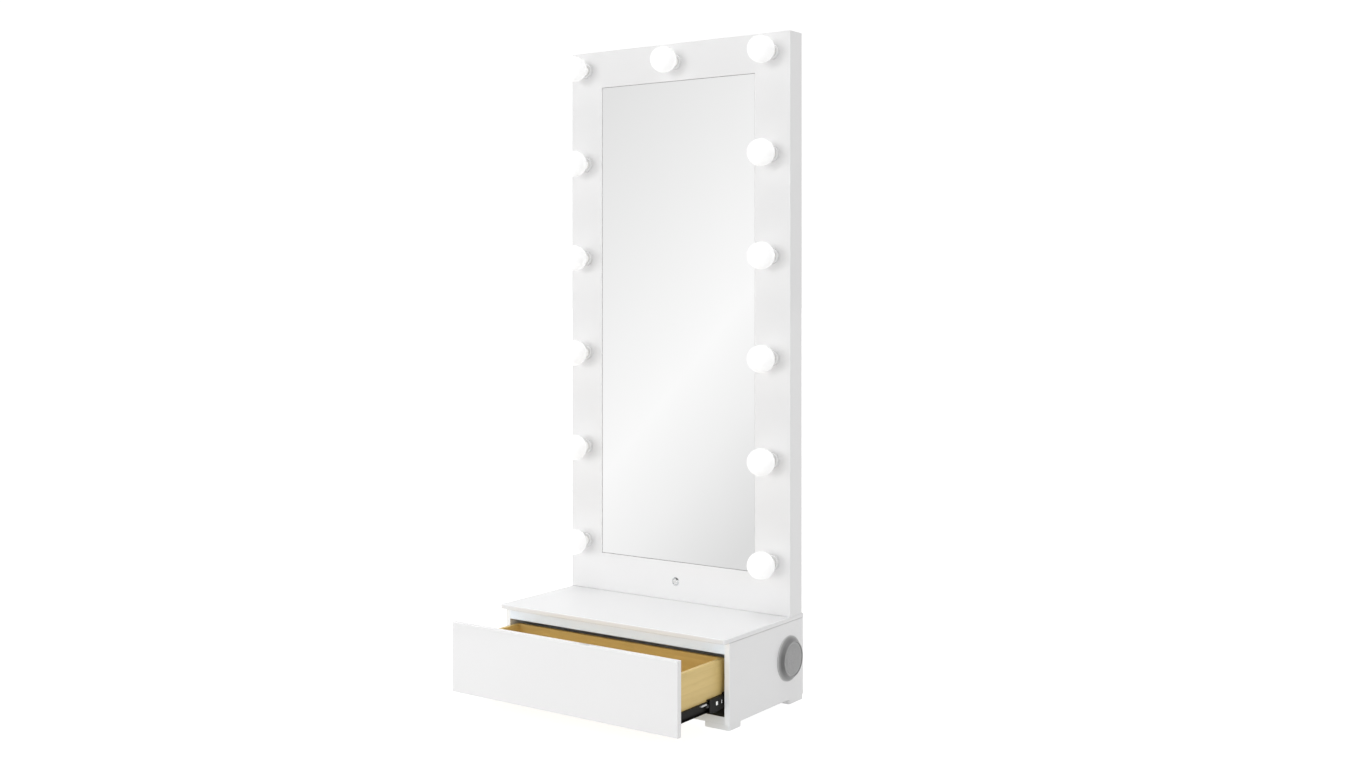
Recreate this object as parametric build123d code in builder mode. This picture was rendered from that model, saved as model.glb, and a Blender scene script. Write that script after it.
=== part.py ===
from build123d import *
import os

# A lighted dressing mirror: a tall mirror tower with thirteen globe lamps, standing on a low
# cabinet with one drawer and a loudspeaker in each side.
# Millimetres. +X is to the right, +Y towards the wall, +Z up. The floor is z = 0, and the origin
# is under the middle of the whole object with its drawer standing open.

os.makedirs("parts", exist_ok=True)

# ---------------------------------------------------------------- overall sizes
TOTAL_HEIGHT = 1930
WIDTH = 800                      # tower
SLAB_WIDTH = 798
BODY_WIDTH = 796                 # cabinet under the slab
BOARD = 16                       # lacquered board
THIN_BOARD = 5                   # hardboard backs
EASE = 1.0                       # softened board edge
SLAB_SEAM = 0.9                  # height of the shadow line under the slab
TOWER_SEAM = 0.5                 # height of the shadow line under the tower
SEAM_DEPTH = 4

FOOT_HEIGHT = 15
BODY_BACK = 315
BODY_FRONT = -78
SLAB_TOP = 250
SLAB_THICK = 13
SLAB_FRONT = -103
SLAB_BOTTOM = SLAB_TOP - SLAB_THICK
BOTTOM_TOP = 36                  # top of the cabinet's bottom board
RAIL_BOTTOM = 204.5              # lower edge of the rail above the drawer
BACK_INSET = 2                   # the cabinet's back sits this far inside its sides

HALF_BODY = BODY_WIDTH / 2
INNER = HALF_BODY - BOARD        # half the clear width inside the cabinet

# ---------------------------------------------------------------- tower
TOWER_FRONT = 238
TOWER_DEPTH = 66
TOWER_BACK = TOWER_FRONT + TOWER_DEPTH
TOWER_INSIDE = TOWER_FRONT + BOARD       # rear face of the front board
HALF_TOWER = WIDTH / 2
FRAME_SIDE = 119                 # frame width beside the mirror
FRAME_TOP = 113
FRAME_BOTTOM = 116
MIRROR_RECESS = 2.5
MIRROR_THICK = 5
MIRROR_GAP = 1.2                 # shadow lines above and below the glass
MIRROR_GAP_LEFT = 0.5            # the glass stands a little to the left in its opening
MIRROR_GAP_RIGHT = 1.9
BACKING_LAP = 20                 # how far the backing board laps behind the frame
BACKING_THICK = 8
FIT = 0.5                        # clearance round a board let into another

OPEN_LEFT = -HALF_TOWER + FRAME_SIDE
OPEN_RIGHT = HALF_TOWER - FRAME_SIDE
OPEN_LOW = SLAB_TOP + FRAME_BOTTOM
OPEN_HIGH = TOTAL_HEIGHT - FRAME_TOP
REBATE_FRONT = TOWER_FRONT + MIRROR_RECESS + MIRROR_THICK

# ---------------------------------------------------------------- lamps
GLOBE_RADIUS = 40
GLOBE_STAND_OFF = 64             # globe centre in front of the tower's face
LAMP_X = 341
LAMP_TOP_Z = 1873
LAMP_PITCH = 294.4
LAMP_ROWS = 6
NECK_RADIUS = 14.5
NECK_JOIN = 24                   # radius where the globe runs into its neck
GLASS = 1.5                      # wall of the globes
CAP_RADIUS = 13
CAP_END = 249
CAP_TAPER = 4                    # length of the cap's stepped end
CAP_WALL = 3                     # thickness of the cap's end round the vent
VENT_RADIUS = 1                  # hole in the cap's end, into the hollow globe
SOCKET_RADIUS = 18.9
SOCKET_FRONT = 232
SOCKET_END = 270
SOCKET_FLOOR = 251               # bottom of the hole that takes the lamp's cap
SOCKET_PLAY = 0.3
COLLAR_RADIUS = 22.5
COLLAR_FRONT = 228
HOLE_RADIUS = 19.2

GLOBE_Y = TOWER_FRONT - GLOBE_STAND_OFF

# ---------------------------------------------------------------- power button
BUTTON_Z = 307
BUTTON_RING_RADIUS = 13
BUTTON_BARREL_RADIUS = 11
BUTTON_CAP_RADIUS = 8.6
BUTTON_BORE_RADIUS = 8.8
BUTTON_TRAVEL = 1.5

# ---------------------------------------------------------------- loudspeakers
SPEAKER_Y = 235
SPEAKER_Z = 133
SPEAKER_HOLE = 48
SPEAKER_RING = 65
SPEAKER_PROUD = 16
GRILLE_RADIUS = 47

# ---------------------------------------------------------------- drawer
DRAWER_OPEN = 219                # how far the drawer stands open at rest
FRONT_HALF_WIDTH = 393
FRONT_TOP = 236
FRONT_BOTTOM = 37.5
FRONT_GAP = 2                    # between the closed drawer front and the cabinet
BOX_BOARD = 12
BOX_HALF_WIDTH = 369.3
BOX_TOP = 189.5
BOX_BOTTOM = 64
BOX_BACK_CLOSED = 166
BOTTOM_LEVEL = 70                # underside of the drawer's bottom board
GROOVE = 5

# ---------------------------------------------------------------- drawer slides
SLIDE_Z = 78                     # centre line of the slides
STEEL = 1.2
OUTER_HALF = 22.6
MIDDLE_HALF = 18.25
INNER_HALF = 13.5
OUTER_SPAN = (-76, 174)          # along Y
MIDDLE_SPAN_CLOSED = (-37.5, 172.5)
INNER_SPAN_CLOSED = (-79, 165)
OUTER_CAGE_CLOSED = (-12, 108)
INNER_CAGE_CLOSED = (26, 100)
BALLS_PER_ROW = 5


def save(piece, label):
    """Name a finished sub-part and write it to its own file."""
    piece.part.label = label
    export_step(piece.part, f"parts/{label}.step")


def block(x, y, z, mode=Mode.ADD):
    """A rectangular block between (low, high) limits on each axis."""
    centre = ((x[0] + x[1]) / 2, (y[0] + y[1]) / 2, (z[0] + z[1]) / 2)
    with Locations(centre):
        Box(x[1] - x[0], y[1] - y[0], z[1] - z[0], mode=mode)


def span(side, low, high):
    """X limits measured out from the middle, on the right (side 1) or the left (side -1)."""
    return tuple(sorted((side * low, side * high)))


def shifted(limits, distance):
    """Y limits moved towards the front by a distance."""
    return (limits[0] - distance, limits[1] - distance)


SIDES = {"left": -1, "right": 1}

# ================================================================ cabinet

# The slab: a thin top with rounded front corners and a softened upper edge.
SLAB_CORNER = 6
SLAB_ROUND = 3
SLAB_UNDER_ROUND = 1.5
BOLT_X = (-270, -90, 90, 270)
BOLT_Y = 276
BOLT_RADIUS = 4
BOLT_HOLE = 4.2
CABLE_X = -341
CABLE_HOLE = 6

bolt_places = [(x, BOLT_Y) for x in BOLT_X]

with BuildPart() as top_slab:
    with BuildSketch(Plane.XY.offset(SLAB_BOTTOM)):
        with Locations((0, (SLAB_FRONT + BODY_BACK) / 2)):
            Rectangle(SLAB_WIDTH, BODY_BACK - SLAB_FRONT)
        with Locations(*bolt_places):
            Circle(BOLT_HOLE, mode=Mode.SUBTRACT)
        with Locations((CABLE_X, BOLT_Y)):
            Circle(CABLE_HOLE, mode=Mode.SUBTRACT)
    extrude(amount=SLAB_THICK)
    upright = top_slab.edges().filter_by(Axis.Z).sort_by(Axis.Y)
    fillet([edge for edge in upright if edge.center().Y < SLAB_FRONT + EASE], SLAB_CORNER)
    fillet(top_slab.faces().sort_by(Axis.Z)[-1].outer_wire().edges(), SLAB_ROUND)
    fillet(top_slab.faces().sort_by(Axis.Z)[0].outer_wire().edges(), SLAB_UNDER_ROUND)
save(top_slab, "top_slab")

for name, side in SIDES.items():
    with BuildPart() as side_panel:
        block(span(side, INNER, HALF_BODY), (BODY_FRONT, BODY_BACK), (FOOT_HEIGHT, SLAB_BOTTOM))
        outer = side_panel.faces().sort_by(Axis.X)[-1 if side > 0 else 0]
        fillet(outer.edges().filter_by(Axis.Z), EASE)
        block(
            span(side, HALF_BODY - SEAM_DEPTH, HALF_BODY),
            (BODY_FRONT, BODY_BACK),
            (SLAB_BOTTOM - SLAB_SEAM, SLAB_BOTTOM),
            mode=Mode.SUBTRACT,
        )
        with Locations(Plane((side * HALF_BODY, SPEAKER_Y, SPEAKER_Z), z_dir=(side, 0, 0))):
            Hole(SPEAKER_HOLE, depth=BOARD)
    save(side_panel, f"side_panel_{name}")

inset_back = BODY_BACK - BACK_INSET

with BuildPart() as bottom_panel:
    block((-INNER, INNER), (BODY_FRONT, inset_back), (FOOT_HEIGHT, BOTTOM_TOP))
save(bottom_panel, "bottom_panel")

with BuildPart() as front_rail:
    block((-INNER, INNER), (BODY_FRONT, BODY_FRONT + BOARD), (RAIL_BOTTOM, SLAB_BOTTOM))
save(front_rail, "front_rail")

# The power inlet's opening is cut in the cabinet's back.
INLET_X = 230
INLET_Z = 78
INLET_BODY = (28, 20)
INLET_FLANGE = (40, 28)
BACK_FRONT = inset_back - THIN_BOARD

with BuildPart() as back_panel:
    block((-INNER, INNER), (BACK_FRONT, inset_back), (BOTTOM_TOP, SLAB_BOTTOM))
    half_w = INLET_BODY[0] / 2
    half_h = INLET_BODY[1] / 2
    block(
        (INLET_X - half_w, INLET_X + half_w),
        (BACK_FRONT, BODY_BACK),
        (INLET_Z - half_h, INLET_Z + half_h),
        mode=Mode.SUBTRACT,
    )
save(back_panel, "back_panel")

# A thin partition keeps the drawer clear of the loudspeakers and the electrical parts.
DIVIDER = (176, 180)

with BuildPart() as rear_divider:
    block((-INNER, INNER), DIVIDER, (BOTTOM_TOP, SLAB_BOTTOM))
save(rear_divider, "rear_divider")

# Low corner feet, flush with the cabinet's outer faces.
FOOT_WIDE = 82
FRONT_FOOT_DEEP = 60
REAR_FOOT_DEEP = 78
FOOT_ROUND = 6

feet_along = {
    "front": (BODY_FRONT, BODY_FRONT + FRONT_FOOT_DEEP),
    "rear": (BODY_BACK - REAR_FOOT_DEEP, BODY_BACK),
}

for name, foot_y in feet_along.items():
    with BuildPart() as feet:
        for side in SIDES.values():
            block(span(side, HALF_BODY - FOOT_WIDE, HALF_BODY), foot_y, (0, FOOT_HEIGHT))
        fillet(feet.edges().filter_by(Axis.Z), FOOT_ROUND)
        chamfer(feet.edges().group_by(Axis.Z)[0], EASE)
    save(feet, f"feet_{name}")

# ================================================================ tower

tower_mid_z = (SLAB_TOP + TOTAL_HEIGHT) / 2
open_width = OPEN_RIGHT - OPEN_LEFT
open_height = OPEN_HIGH - OPEN_LOW
open_mid_z = (OPEN_LOW + OPEN_HIGH) / 2

lamp_rows = [LAMP_TOP_Z - LAMP_PITCH * row for row in range(LAMP_ROWS)]
lamps = {f"bulb_{name}_{row + 1}": (side * LAMP_X, z)
         for name, side in SIDES.items()
         for row, z in enumerate(lamp_rows)}
lamps["bulb_top"] = (0, LAMP_TOP_Z)

# The front board is one piece: a frame round the mirror, bored for the lamps and the button,
# with a rebate behind for the mirror's backing board.
with BuildPart() as tower_front_board:
    with BuildSketch(Plane.XZ.offset(-TOWER_FRONT)):
        with Locations((0, tower_mid_z)):
            Rectangle(WIDTH, TOTAL_HEIGHT - SLAB_TOP)
        with Locations((0, open_mid_z)):
            Rectangle(open_width, open_height, mode=Mode.SUBTRACT)
        with Locations(*lamps.values()):
            Circle(HOLE_RADIUS, mode=Mode.SUBTRACT)
        with Locations((0, BUTTON_Z)):
            Circle(BUTTON_BARREL_RADIUS + FIT / 2, mode=Mode.SUBTRACT)
    extrude(amount=-BOARD)
    with BuildSketch(Plane.XZ.offset(-REBATE_FRONT)):
        with Locations((0, open_mid_z)):
            Rectangle(open_width + 2 * BACKING_LAP, open_height + 2 * BACKING_LAP)
    extrude(amount=-BOARD, mode=Mode.SUBTRACT)
    face = tower_front_board.faces().sort_by(Axis.Y)[0]
    fillet(face.outer_wire().edges().filter_by(Axis.Z), EASE)
    block(
        (-HALF_TOWER, HALF_TOWER),
        (TOWER_FRONT, TOWER_FRONT + SEAM_DEPTH),
        (SLAB_TOP, SLAB_TOP + TOWER_SEAM),
        mode=Mode.SUBTRACT,
    )
save(tower_front_board, "tower_front_board")

for name, side in SIDES.items():
    with BuildPart() as tower_side:
        block(
            span(side, HALF_TOWER - BOARD, HALF_TOWER),
            (TOWER_INSIDE, TOWER_BACK),
            (SLAB_TOP, TOTAL_HEIGHT),
        )
        outer = tower_side.faces().sort_by(Axis.X)[-1 if side > 0 else 0]
        back_edge = outer.edges().filter_by(Axis.Z).sort_by(Axis.Y)[-1]
        fillet(back_edge, EASE)
        block(
            span(side, HALF_TOWER - SEAM_DEPTH, HALF_TOWER),
            (TOWER_INSIDE, TOWER_BACK),
            (SLAB_TOP, SLAB_TOP + TOWER_SEAM),
            mode=Mode.SUBTRACT,
        )
    save(tower_side, f"tower_side_{name}")

tower_inner = HALF_TOWER - BOARD
tower_inside_y = (TOWER_INSIDE, TOWER_BACK - THIN_BOARD)

with BuildPart() as tower_top:
    block((-tower_inner, tower_inner), tower_inside_y, (TOTAL_HEIGHT - BOARD, TOTAL_HEIGHT))
save(tower_top, "tower_top")

with BuildPart() as tower_base:
    with BuildSketch(Plane.XY.offset(SLAB_TOP)):
        with Locations((0, sum(tower_inside_y) / 2)):
            Rectangle(2 * tower_inner, tower_inside_y[1] - tower_inside_y[0])
        with Locations(*bolt_places):
            Circle(BOLT_HOLE, mode=Mode.SUBTRACT)
        with Locations((CABLE_X, BOLT_Y)):
            Circle(CABLE_HOLE, mode=Mode.SUBTRACT)
    extrude(amount=BOARD)
save(tower_base, "tower_base")

with BuildPart() as tower_back_panel:
    block((-tower_inner, tower_inner), (tower_inside_y[1], TOWER_BACK), (SLAB_TOP, TOTAL_HEIGHT))
save(tower_back_panel, "tower_back_panel")

GLASS_PLAY = 0.05                # between the glass and its backing board
mirror_front = TOWER_FRONT + MIRROR_RECESS
mirror_back = mirror_front + MIRROR_THICK - GLASS_PLAY

with BuildPart() as mirror_glass:
    block(
        (OPEN_LEFT + MIRROR_GAP_LEFT, OPEN_RIGHT - MIRROR_GAP_RIGHT),
        (mirror_front, mirror_back),
        (OPEN_LOW + MIRROR_GAP, OPEN_HIGH - MIRROR_GAP),
    )
save(mirror_glass, "mirror_glass")

backing_reach = BACKING_LAP - FIT
backing_y = (REBATE_FRONT, REBATE_FRONT + BACKING_THICK)

with BuildPart() as mirror_backing:
    block(
        (OPEN_LEFT - backing_reach, OPEN_RIGHT + backing_reach),
        backing_y,
        (OPEN_LOW - backing_reach, OPEN_HIGH + backing_reach),
    )
save(mirror_backing, "mirror_backing")

# Clips behind the frame hold the backing board in its rebate.
CLIP_LONG = 40
CLIP_WIDE = 18
CLIP_THICK = 2
CLIP_OFF = 1                     # the clips' centres, outside the backing board's edge
CLIP_HEAD = 4
CLIP_ROWS = (-440, 0, 440)       # up and down from the middle of the mirror
CLIP_COLUMNS = (-170, 170)       # along its top and bottom

clip_edge_x = OPEN_RIGHT + BACKING_LAP + CLIP_OFF
clip_edge_z = open_height / 2 + BACKING_LAP + CLIP_OFF
side_clips = [(side * clip_edge_x, open_mid_z + dz) for side in (-1, 1) for dz in CLIP_ROWS]
end_clips = [(x, open_mid_z + up * clip_edge_z) for up in (-1, 1) for x in CLIP_COLUMNS]

with BuildPart() as mirror_clips:
    with BuildSketch(Plane.XZ.offset(-TOWER_INSIDE)):
        with Locations(*side_clips):
            Rectangle(CLIP_LONG, CLIP_WIDE)
        with Locations(*end_clips):
            Rectangle(CLIP_WIDE, CLIP_LONG)
    extrude(amount=-CLIP_THICK)
    with BuildSketch(Plane.XZ.offset(-TOWER_INSIDE - CLIP_THICK)):
        with Locations(*side_clips, *end_clips):
            Circle(CLIP_HEAD)
    extrude(amount=-CLIP_THICK)
save(mirror_clips, "mirror_clips")

# ================================================================ lamps


def turned_y(points, place):
    """Revolve a (radius, y) outline about an axis along Y through the place (x, z)."""
    x, z = place
    with BuildSketch(Plane((x, 0, z), x_dir=(1, 0, 0), z_dir=(0, 0, 1))) as outline:
        with BuildLine():
            Polyline(*points, close=True)
        make_face()
    revolve(outline.sketch, axis=Axis((x, 0, z), (0, 1, 0)))


# The globe runs into its neck through a hollow curve that meets both without a corner.
join_depth = (GLOBE_RADIUS**2 - NECK_JOIN**2) ** 0.5
curve_radius = (NECK_JOIN - NECK_RADIUS) / (1 - NECK_JOIN / GLOBE_RADIUS)
neck_end_y = GLOBE_Y + join_depth * (1 + curve_radius / GLOBE_RADIUS)


def globe_line(inset):
    """Half the globe's outline, from its front to the end of its neck, inset from the surface."""
    radius = GLOBE_RADIUS - inset
    front = (0, GLOBE_Y - radius)
    join = (NECK_JOIN * radius / GLOBE_RADIUS, GLOBE_Y + join_depth * radius / GLOBE_RADIUS)
    neck_end = (NECK_RADIUS - inset, neck_end_y)
    ThreePointArc(front, (radius, GLOBE_Y), join)
    TangentArc(join, neck_end, tangent=(-join_depth, NECK_JOIN))
    return front, neck_end


cap_start_y = neck_end_y + EASE
cap_inside_y = CAP_END - CAP_WALL
cap_bore = CAP_RADIUS - GLASS

for label, (x, z) in lamps.items():
    with BuildPart() as bulb:
        with BuildSketch(Plane((x, 0, z), x_dir=(1, 0, 0), z_dir=(0, 0, 1))):
            with BuildLine():
                front, neck_end = globe_line(0)
                inner_front, inner_neck_end = globe_line(GLASS)
                Polyline(
                    neck_end,
                    (CAP_RADIUS, cap_start_y),
                    (CAP_RADIUS, CAP_END - CAP_TAPER),
                    (CAP_RADIUS / 2, CAP_END - CAP_TAPER / 2),
                    (CAP_RADIUS / 3, CAP_END),
                    (VENT_RADIUS, CAP_END),
                    (VENT_RADIUS, cap_inside_y),
                    (cap_bore, cap_inside_y - GLASS),
                    (cap_bore, cap_start_y),
                    inner_neck_end,
                )
                Line(inner_front, front)
            make_face()
        revolve(axis=Axis((x, 0, z), (0, 1, 0)))
    save(bulb, label)

socket_bore = CAP_RADIUS + SOCKET_PLAY
socket_outline = [
    (socket_bore, SOCKET_FRONT),
    (SOCKET_RADIUS, SOCKET_FRONT),
    (SOCKET_RADIUS, SOCKET_END),
    (0, SOCKET_END),
    (0, SOCKET_FLOOR),
    (socket_bore, SOCKET_FLOOR),
]
with BuildPart() as lamp_sockets:
    for place in lamps.values():
        turned_y(socket_outline, place)
save(lamp_sockets, "lamp_sockets")

collar_outline = [
    (HOLE_RADIUS, COLLAR_FRONT),
    (COLLAR_RADIUS - EASE, COLLAR_FRONT),
    (COLLAR_RADIUS, COLLAR_FRONT + EASE),
    (COLLAR_RADIUS, TOWER_FRONT),
    (HOLE_RADIUS, TOWER_FRONT),
]
with BuildPart() as socket_collars:
    for place in lamps.values():
        turned_y(collar_outline, place)
save(socket_collars, "socket_collars")

# ================================================================ power button
RING_PROUD = 3
RING_LIP = 1.2
CAP_PROUD = 4
CAP_THICK = 6
STEM_RADIUS = 3
STEM_END = 255
BORE_END = STEM_END + 2 * BUTTON_TRAVEL
BARREL_WALL = 6
BARREL_END = BORE_END + BARREL_WALL
button_place = (0, BUTTON_Z)
ring_front = TOWER_FRONT - RING_PROUD

with BuildPart() as power_button_ring:
    turned_y(
        [
            (BUTTON_BORE_RADIUS, ring_front),
            (BUTTON_RING_RADIUS - RING_LIP, ring_front),
            (BUTTON_RING_RADIUS, ring_front + RING_LIP),
            (BUTTON_RING_RADIUS, TOWER_FRONT),
            (BUTTON_BARREL_RADIUS, TOWER_FRONT),
            (BUTTON_BARREL_RADIUS, BARREL_END),
            (0, BARREL_END),
            (0, BORE_END),
            (BUTTON_BORE_RADIUS, BORE_END),
        ],
        button_place,
    )
save(power_button_ring, "power_button_ring")

cap_front = TOWER_FRONT - CAP_PROUD
with BuildPart() as power_button_cap:
    turned_y(
        [
            (0, cap_front),
            (BUTTON_CAP_RADIUS - RING_LIP, cap_front),
            (BUTTON_CAP_RADIUS, cap_front + RING_LIP),
            (BUTTON_CAP_RADIUS, cap_front + CAP_THICK),
            (STEM_RADIUS, cap_front + CAP_THICK),
            (STEM_RADIUS, STEM_END),
            (0, STEM_END),
        ],
        button_place,
    )
save(power_button_cap, "power_button_cap")

# ================================================================ loudspeakers


def turned_x(points, side):
    """Revolve an (x, radius) outline about the loudspeaker's axis, on one side."""
    centre = (0, SPEAKER_Y, SPEAKER_Z)
    with BuildSketch(Plane(centre, x_dir=(1, 0, 0), z_dir=(0, 0, 1))) as outline:
        with BuildLine():
            Polyline(*[(side * x, radius) for x, radius in points], close=True)
        make_face()
    revolve(outline.sketch, axis=Axis(centre, (1, 0, 0)))


BEZEL_FLANGE = 2.5               # thickness of the thin flange against the cabinet
BEZEL_FOOT = 63.5                # radius where the sloping wall leaves the flange
BEZEL_SHOULDER = 52              # radius at the top of the wall
BEZEL_ROUND = 1.5
GRILLE_STEP = 5                  # depth of the grille's seat under the bezel's face
GRILLE_LAP = 4                   # width of that seat
GRILLE_EDGE = 3.5                # thickness of the grille at its edge
GRILLE_DOME = 1.2                # how much it is thicker in the middle

bezel_face = HALF_BODY + SPEAKER_PROUD
bezel_flange = HALF_BODY + BEZEL_FLANGE
grille_seat = bezel_face - GRILLE_STEP
bezel_bore = GRILLE_RADIUS - GRILLE_LAP

bezel_outline = [
    (HALF_BODY, bezel_bore),
    (HALF_BODY, SPEAKER_RING),
    (bezel_flange - EASE, SPEAKER_RING),
    (bezel_flange, SPEAKER_RING - EASE),
    (bezel_flange, BEZEL_FOOT),
    (bezel_face - BEZEL_ROUND, BEZEL_SHOULDER),
    (bezel_face, BEZEL_SHOULDER - BEZEL_ROUND),
    (bezel_face, GRILLE_RADIUS + FIT),
    (grille_seat, GRILLE_RADIUS + FIT),
    (grille_seat, bezel_bore),
]
grille_edge = grille_seat + GRILLE_EDGE
grille_outline = [
    (grille_seat, 0),
    (grille_seat, GRILLE_RADIUS),
    (grille_edge, GRILLE_RADIUS),
    (grille_edge + GRILLE_DOME * 3 / 4, GRILLE_RADIUS / 2),
    (grille_edge + GRILLE_DOME, 0),
]

# The driver: a steel basket with its magnet, and a cone inside it.
BASKET_RADIUS = SPEAKER_HOLE - 0.7
BASKET_RIM = 5.5                 # thickness of the basket's rim
BASKET_DEPTH = 30
BASKET_FRONT = 0.5               # rim behind the cabinet's outer face
MAGNET_RADIUS = 32
MAGNET_DEPTH = 48
CONE_RADIUS = 41.5
CONE_FRONT = 1.5
CONE_WALL = 1.5
CONE_DEPTH = 25
CONE_THROAT = 16
CONE_ROOM = 1                    # between the cone and the basket

basket_face = HALF_BODY - BASKET_FRONT
basket_floor = HALF_BODY - BASKET_DEPTH
magnet_end = HALF_BODY - MAGNET_DEPTH
cone_face = HALF_BODY - CONE_FRONT
cone_floor = HALF_BODY - CONE_DEPTH

basket_outline = [
    (basket_face, BASKET_RADIUS),
    (basket_face - BASKET_RIM, BASKET_RADIUS),
    (basket_floor, MAGNET_RADIUS + 2 * CONE_ROOM),
    (basket_floor, MAGNET_RADIUS),
    (magnet_end, MAGNET_RADIUS),
    (magnet_end, 0),
    (cone_floor - CONE_ROOM, 0),
    (cone_floor - CONE_ROOM, CONE_THROAT + 2 * CONE_ROOM),
    (cone_face - 2.5 * CONE_ROOM, CONE_RADIUS + CONE_WALL),
    (basket_face, CONE_RADIUS + CONE_WALL),
]
cone_outline = [
    (cone_floor, 0),
    (cone_floor, CONE_THROAT),
    (cone_face - CONE_WALL, CONE_RADIUS),
    (cone_face, CONE_RADIUS),
    (cone_floor + 2.5 * CONE_ROOM, CONE_THROAT - 2 * CONE_ROOM),
    (cone_floor + 2.5 * CONE_ROOM, 0),
]

for name, side in SIDES.items():
    with BuildPart() as speaker_bezel:
        turned_x(bezel_outline, side)
    save(speaker_bezel, f"speaker_bezel_{name}")

    with BuildPart() as speaker_grille:
        turned_x(grille_outline, side)
    save(speaker_grille, f"speaker_grille_{name}")

with BuildPart() as speaker_drivers:
    for side in SIDES.values():
        turned_x(basket_outline, side)
        turned_x(cone_outline, side)
save(speaker_drivers, "speaker_drivers")

# ================================================================ drawer
front_back_closed = BODY_FRONT - FRONT_GAP
front_back = front_back_closed - DRAWER_OPEN
box_back = BOX_BACK_CLOSED - DRAWER_OPEN
bottom_top = BOTTOM_LEVEL + THIN_BOARD
groove_z = (BOTTOM_LEVEL, bottom_top)

with BuildPart() as drawer_front:
    block(
        (-FRONT_HALF_WIDTH, FRONT_HALF_WIDTH),
        (front_back - BOARD, front_back),
        (FRONT_BOTTOM, FRONT_TOP),
    )
    fillet(drawer_front.faces().sort_by(Axis.Y)[0].edges(), EASE)
save(drawer_front, "drawer_front")

for name, side in SIDES.items():
    with BuildPart() as drawer_side:
        inner_x = BOX_HALF_WIDTH - BOX_BOARD
        block(span(side, inner_x, BOX_HALF_WIDTH), (front_back, box_back), (BOX_BOTTOM, BOX_TOP))
        block(
            span(side, inner_x, inner_x + GROOVE),
            (front_back + BOX_BOARD - GROOVE, box_back),
            groove_z,
            mode=Mode.SUBTRACT,
        )
    save(drawer_side, f"drawer_side_{name}")

box_inner = BOX_HALF_WIDTH - BOX_BOARD

with BuildPart() as drawer_inner_front:
    block((-box_inner, box_inner), (front_back, front_back + BOX_BOARD), (BOX_BOTTOM, BOX_TOP))
    block(
        (-box_inner, box_inner),
        (front_back + BOX_BOARD - GROOVE, front_back + BOX_BOARD),
        groove_z,
        mode=Mode.SUBTRACT,
    )
save(drawer_inner_front, "drawer_inner_front")

with BuildPart() as drawer_back:
    block((-box_inner, box_inner), (box_back - BOX_BOARD, box_back), (bottom_top, BOX_TOP))
save(drawer_back, "drawer_back")

with BuildPart() as drawer_bottom:
    reach = box_inner + GROOVE - FIT
    front_edge = front_back + BOX_BOARD - GROOVE + FIT
    block((-reach, reach), (front_edge, box_back), groove_z)
save(drawer_bottom, "drawer_bottom")

# ================================================================ drawer slides
# Ball-bearing slides in three members. The outer member is fixed to the cabinet, the inner one
# to the drawer, and the middle one runs half as far as the drawer. A cage of balls runs halfway
# between each two members.
LIP = 2
WEB_GAP = 1                      # between the webs of nested members
OUTER_DEEP = 10.7                # how far the outer member's arms reach in from the cabinet side
MIDDLE_DEEP = 12
OUTER_BALL = 6.5                 # the rows of balls, in from the cabinet side
INNER_BALL = 8
OUTER_REACH = INNER - OUTER_DEEP
MIDDLE_WEB = INNER - STEEL - WEB_GAP
MIDDLE_REACH = INNER - MIDDLE_DEEP
INNER_REACH = MIDDLE_WEB - STEEL - WEB_GAP
CAGE_PLATE = 0.3
BALL_PLAY = 0.07
WINDOW_Z = (-3.5, 7.5)           # from the slide's centre line
WINDOWS = ((38, 14), (61, 8))    # distance behind the middle member's front end, and length


def member(side, web_x, reach_x, half_height, y_span, lip=0):
    """A C section with its web at web_x and its arms reaching to reach_x, run along Y."""
    inward = STEEL if reach_x > web_x else -STEEL
    arm = half_height - STEEL
    for x0, x1, z0, z1 in [
        (web_x, web_x + inward, -half_height, half_height),
        (web_x, reach_x, arm, half_height),
        (web_x, reach_x, -half_height, -arm),
        (reach_x - inward, reach_x, arm - lip, half_height),
        (reach_x - inward, reach_x, -half_height, lip - arm),
    ]:
        block(span(side, x0, x1), y_span, (SLIDE_Z + z0, SLIDE_Z + z1))


def cage(side, web_x, ball_x, low, high, y_span):
    """A thin strip with a row of balls above and below it, between arms at low and high."""
    radius = (high - low) / 2 - BALL_PLAY
    ball_z = (high + low) / 2
    pitch = (y_span[1] - y_span[0]) / BALLS_PER_ROW
    rows = [y_span[0] + pitch * (n + 0.5) for n in range(BALLS_PER_ROW)]
    strip_x = span(side, web_x - CAGE_PLATE / 2, web_x + CAGE_PLATE / 2)
    shelf_x = span(side, ball_x - radius - FIT, web_x + CAGE_PLATE / 2)
    block(strip_x, y_span, (SLIDE_Z - ball_z, SLIDE_Z + ball_z))
    for z in (SLIDE_Z - ball_z, SLIDE_Z + ball_z):
        block(shelf_x, y_span, (z - CAGE_PLATE, z + CAGE_PLATE))
        with Locations(*[(side * ball_x, y, z) for y in rows]):
            Cylinder(radius + BALL_PLAY, 2 * radius, mode=Mode.SUBTRACT)
            Sphere(radius)


middle_span = shifted(MIDDLE_SPAN_CLOSED, DRAWER_OPEN / 2)
inner_span = shifted(INNER_SPAN_CLOSED, DRAWER_OPEN)

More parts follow.
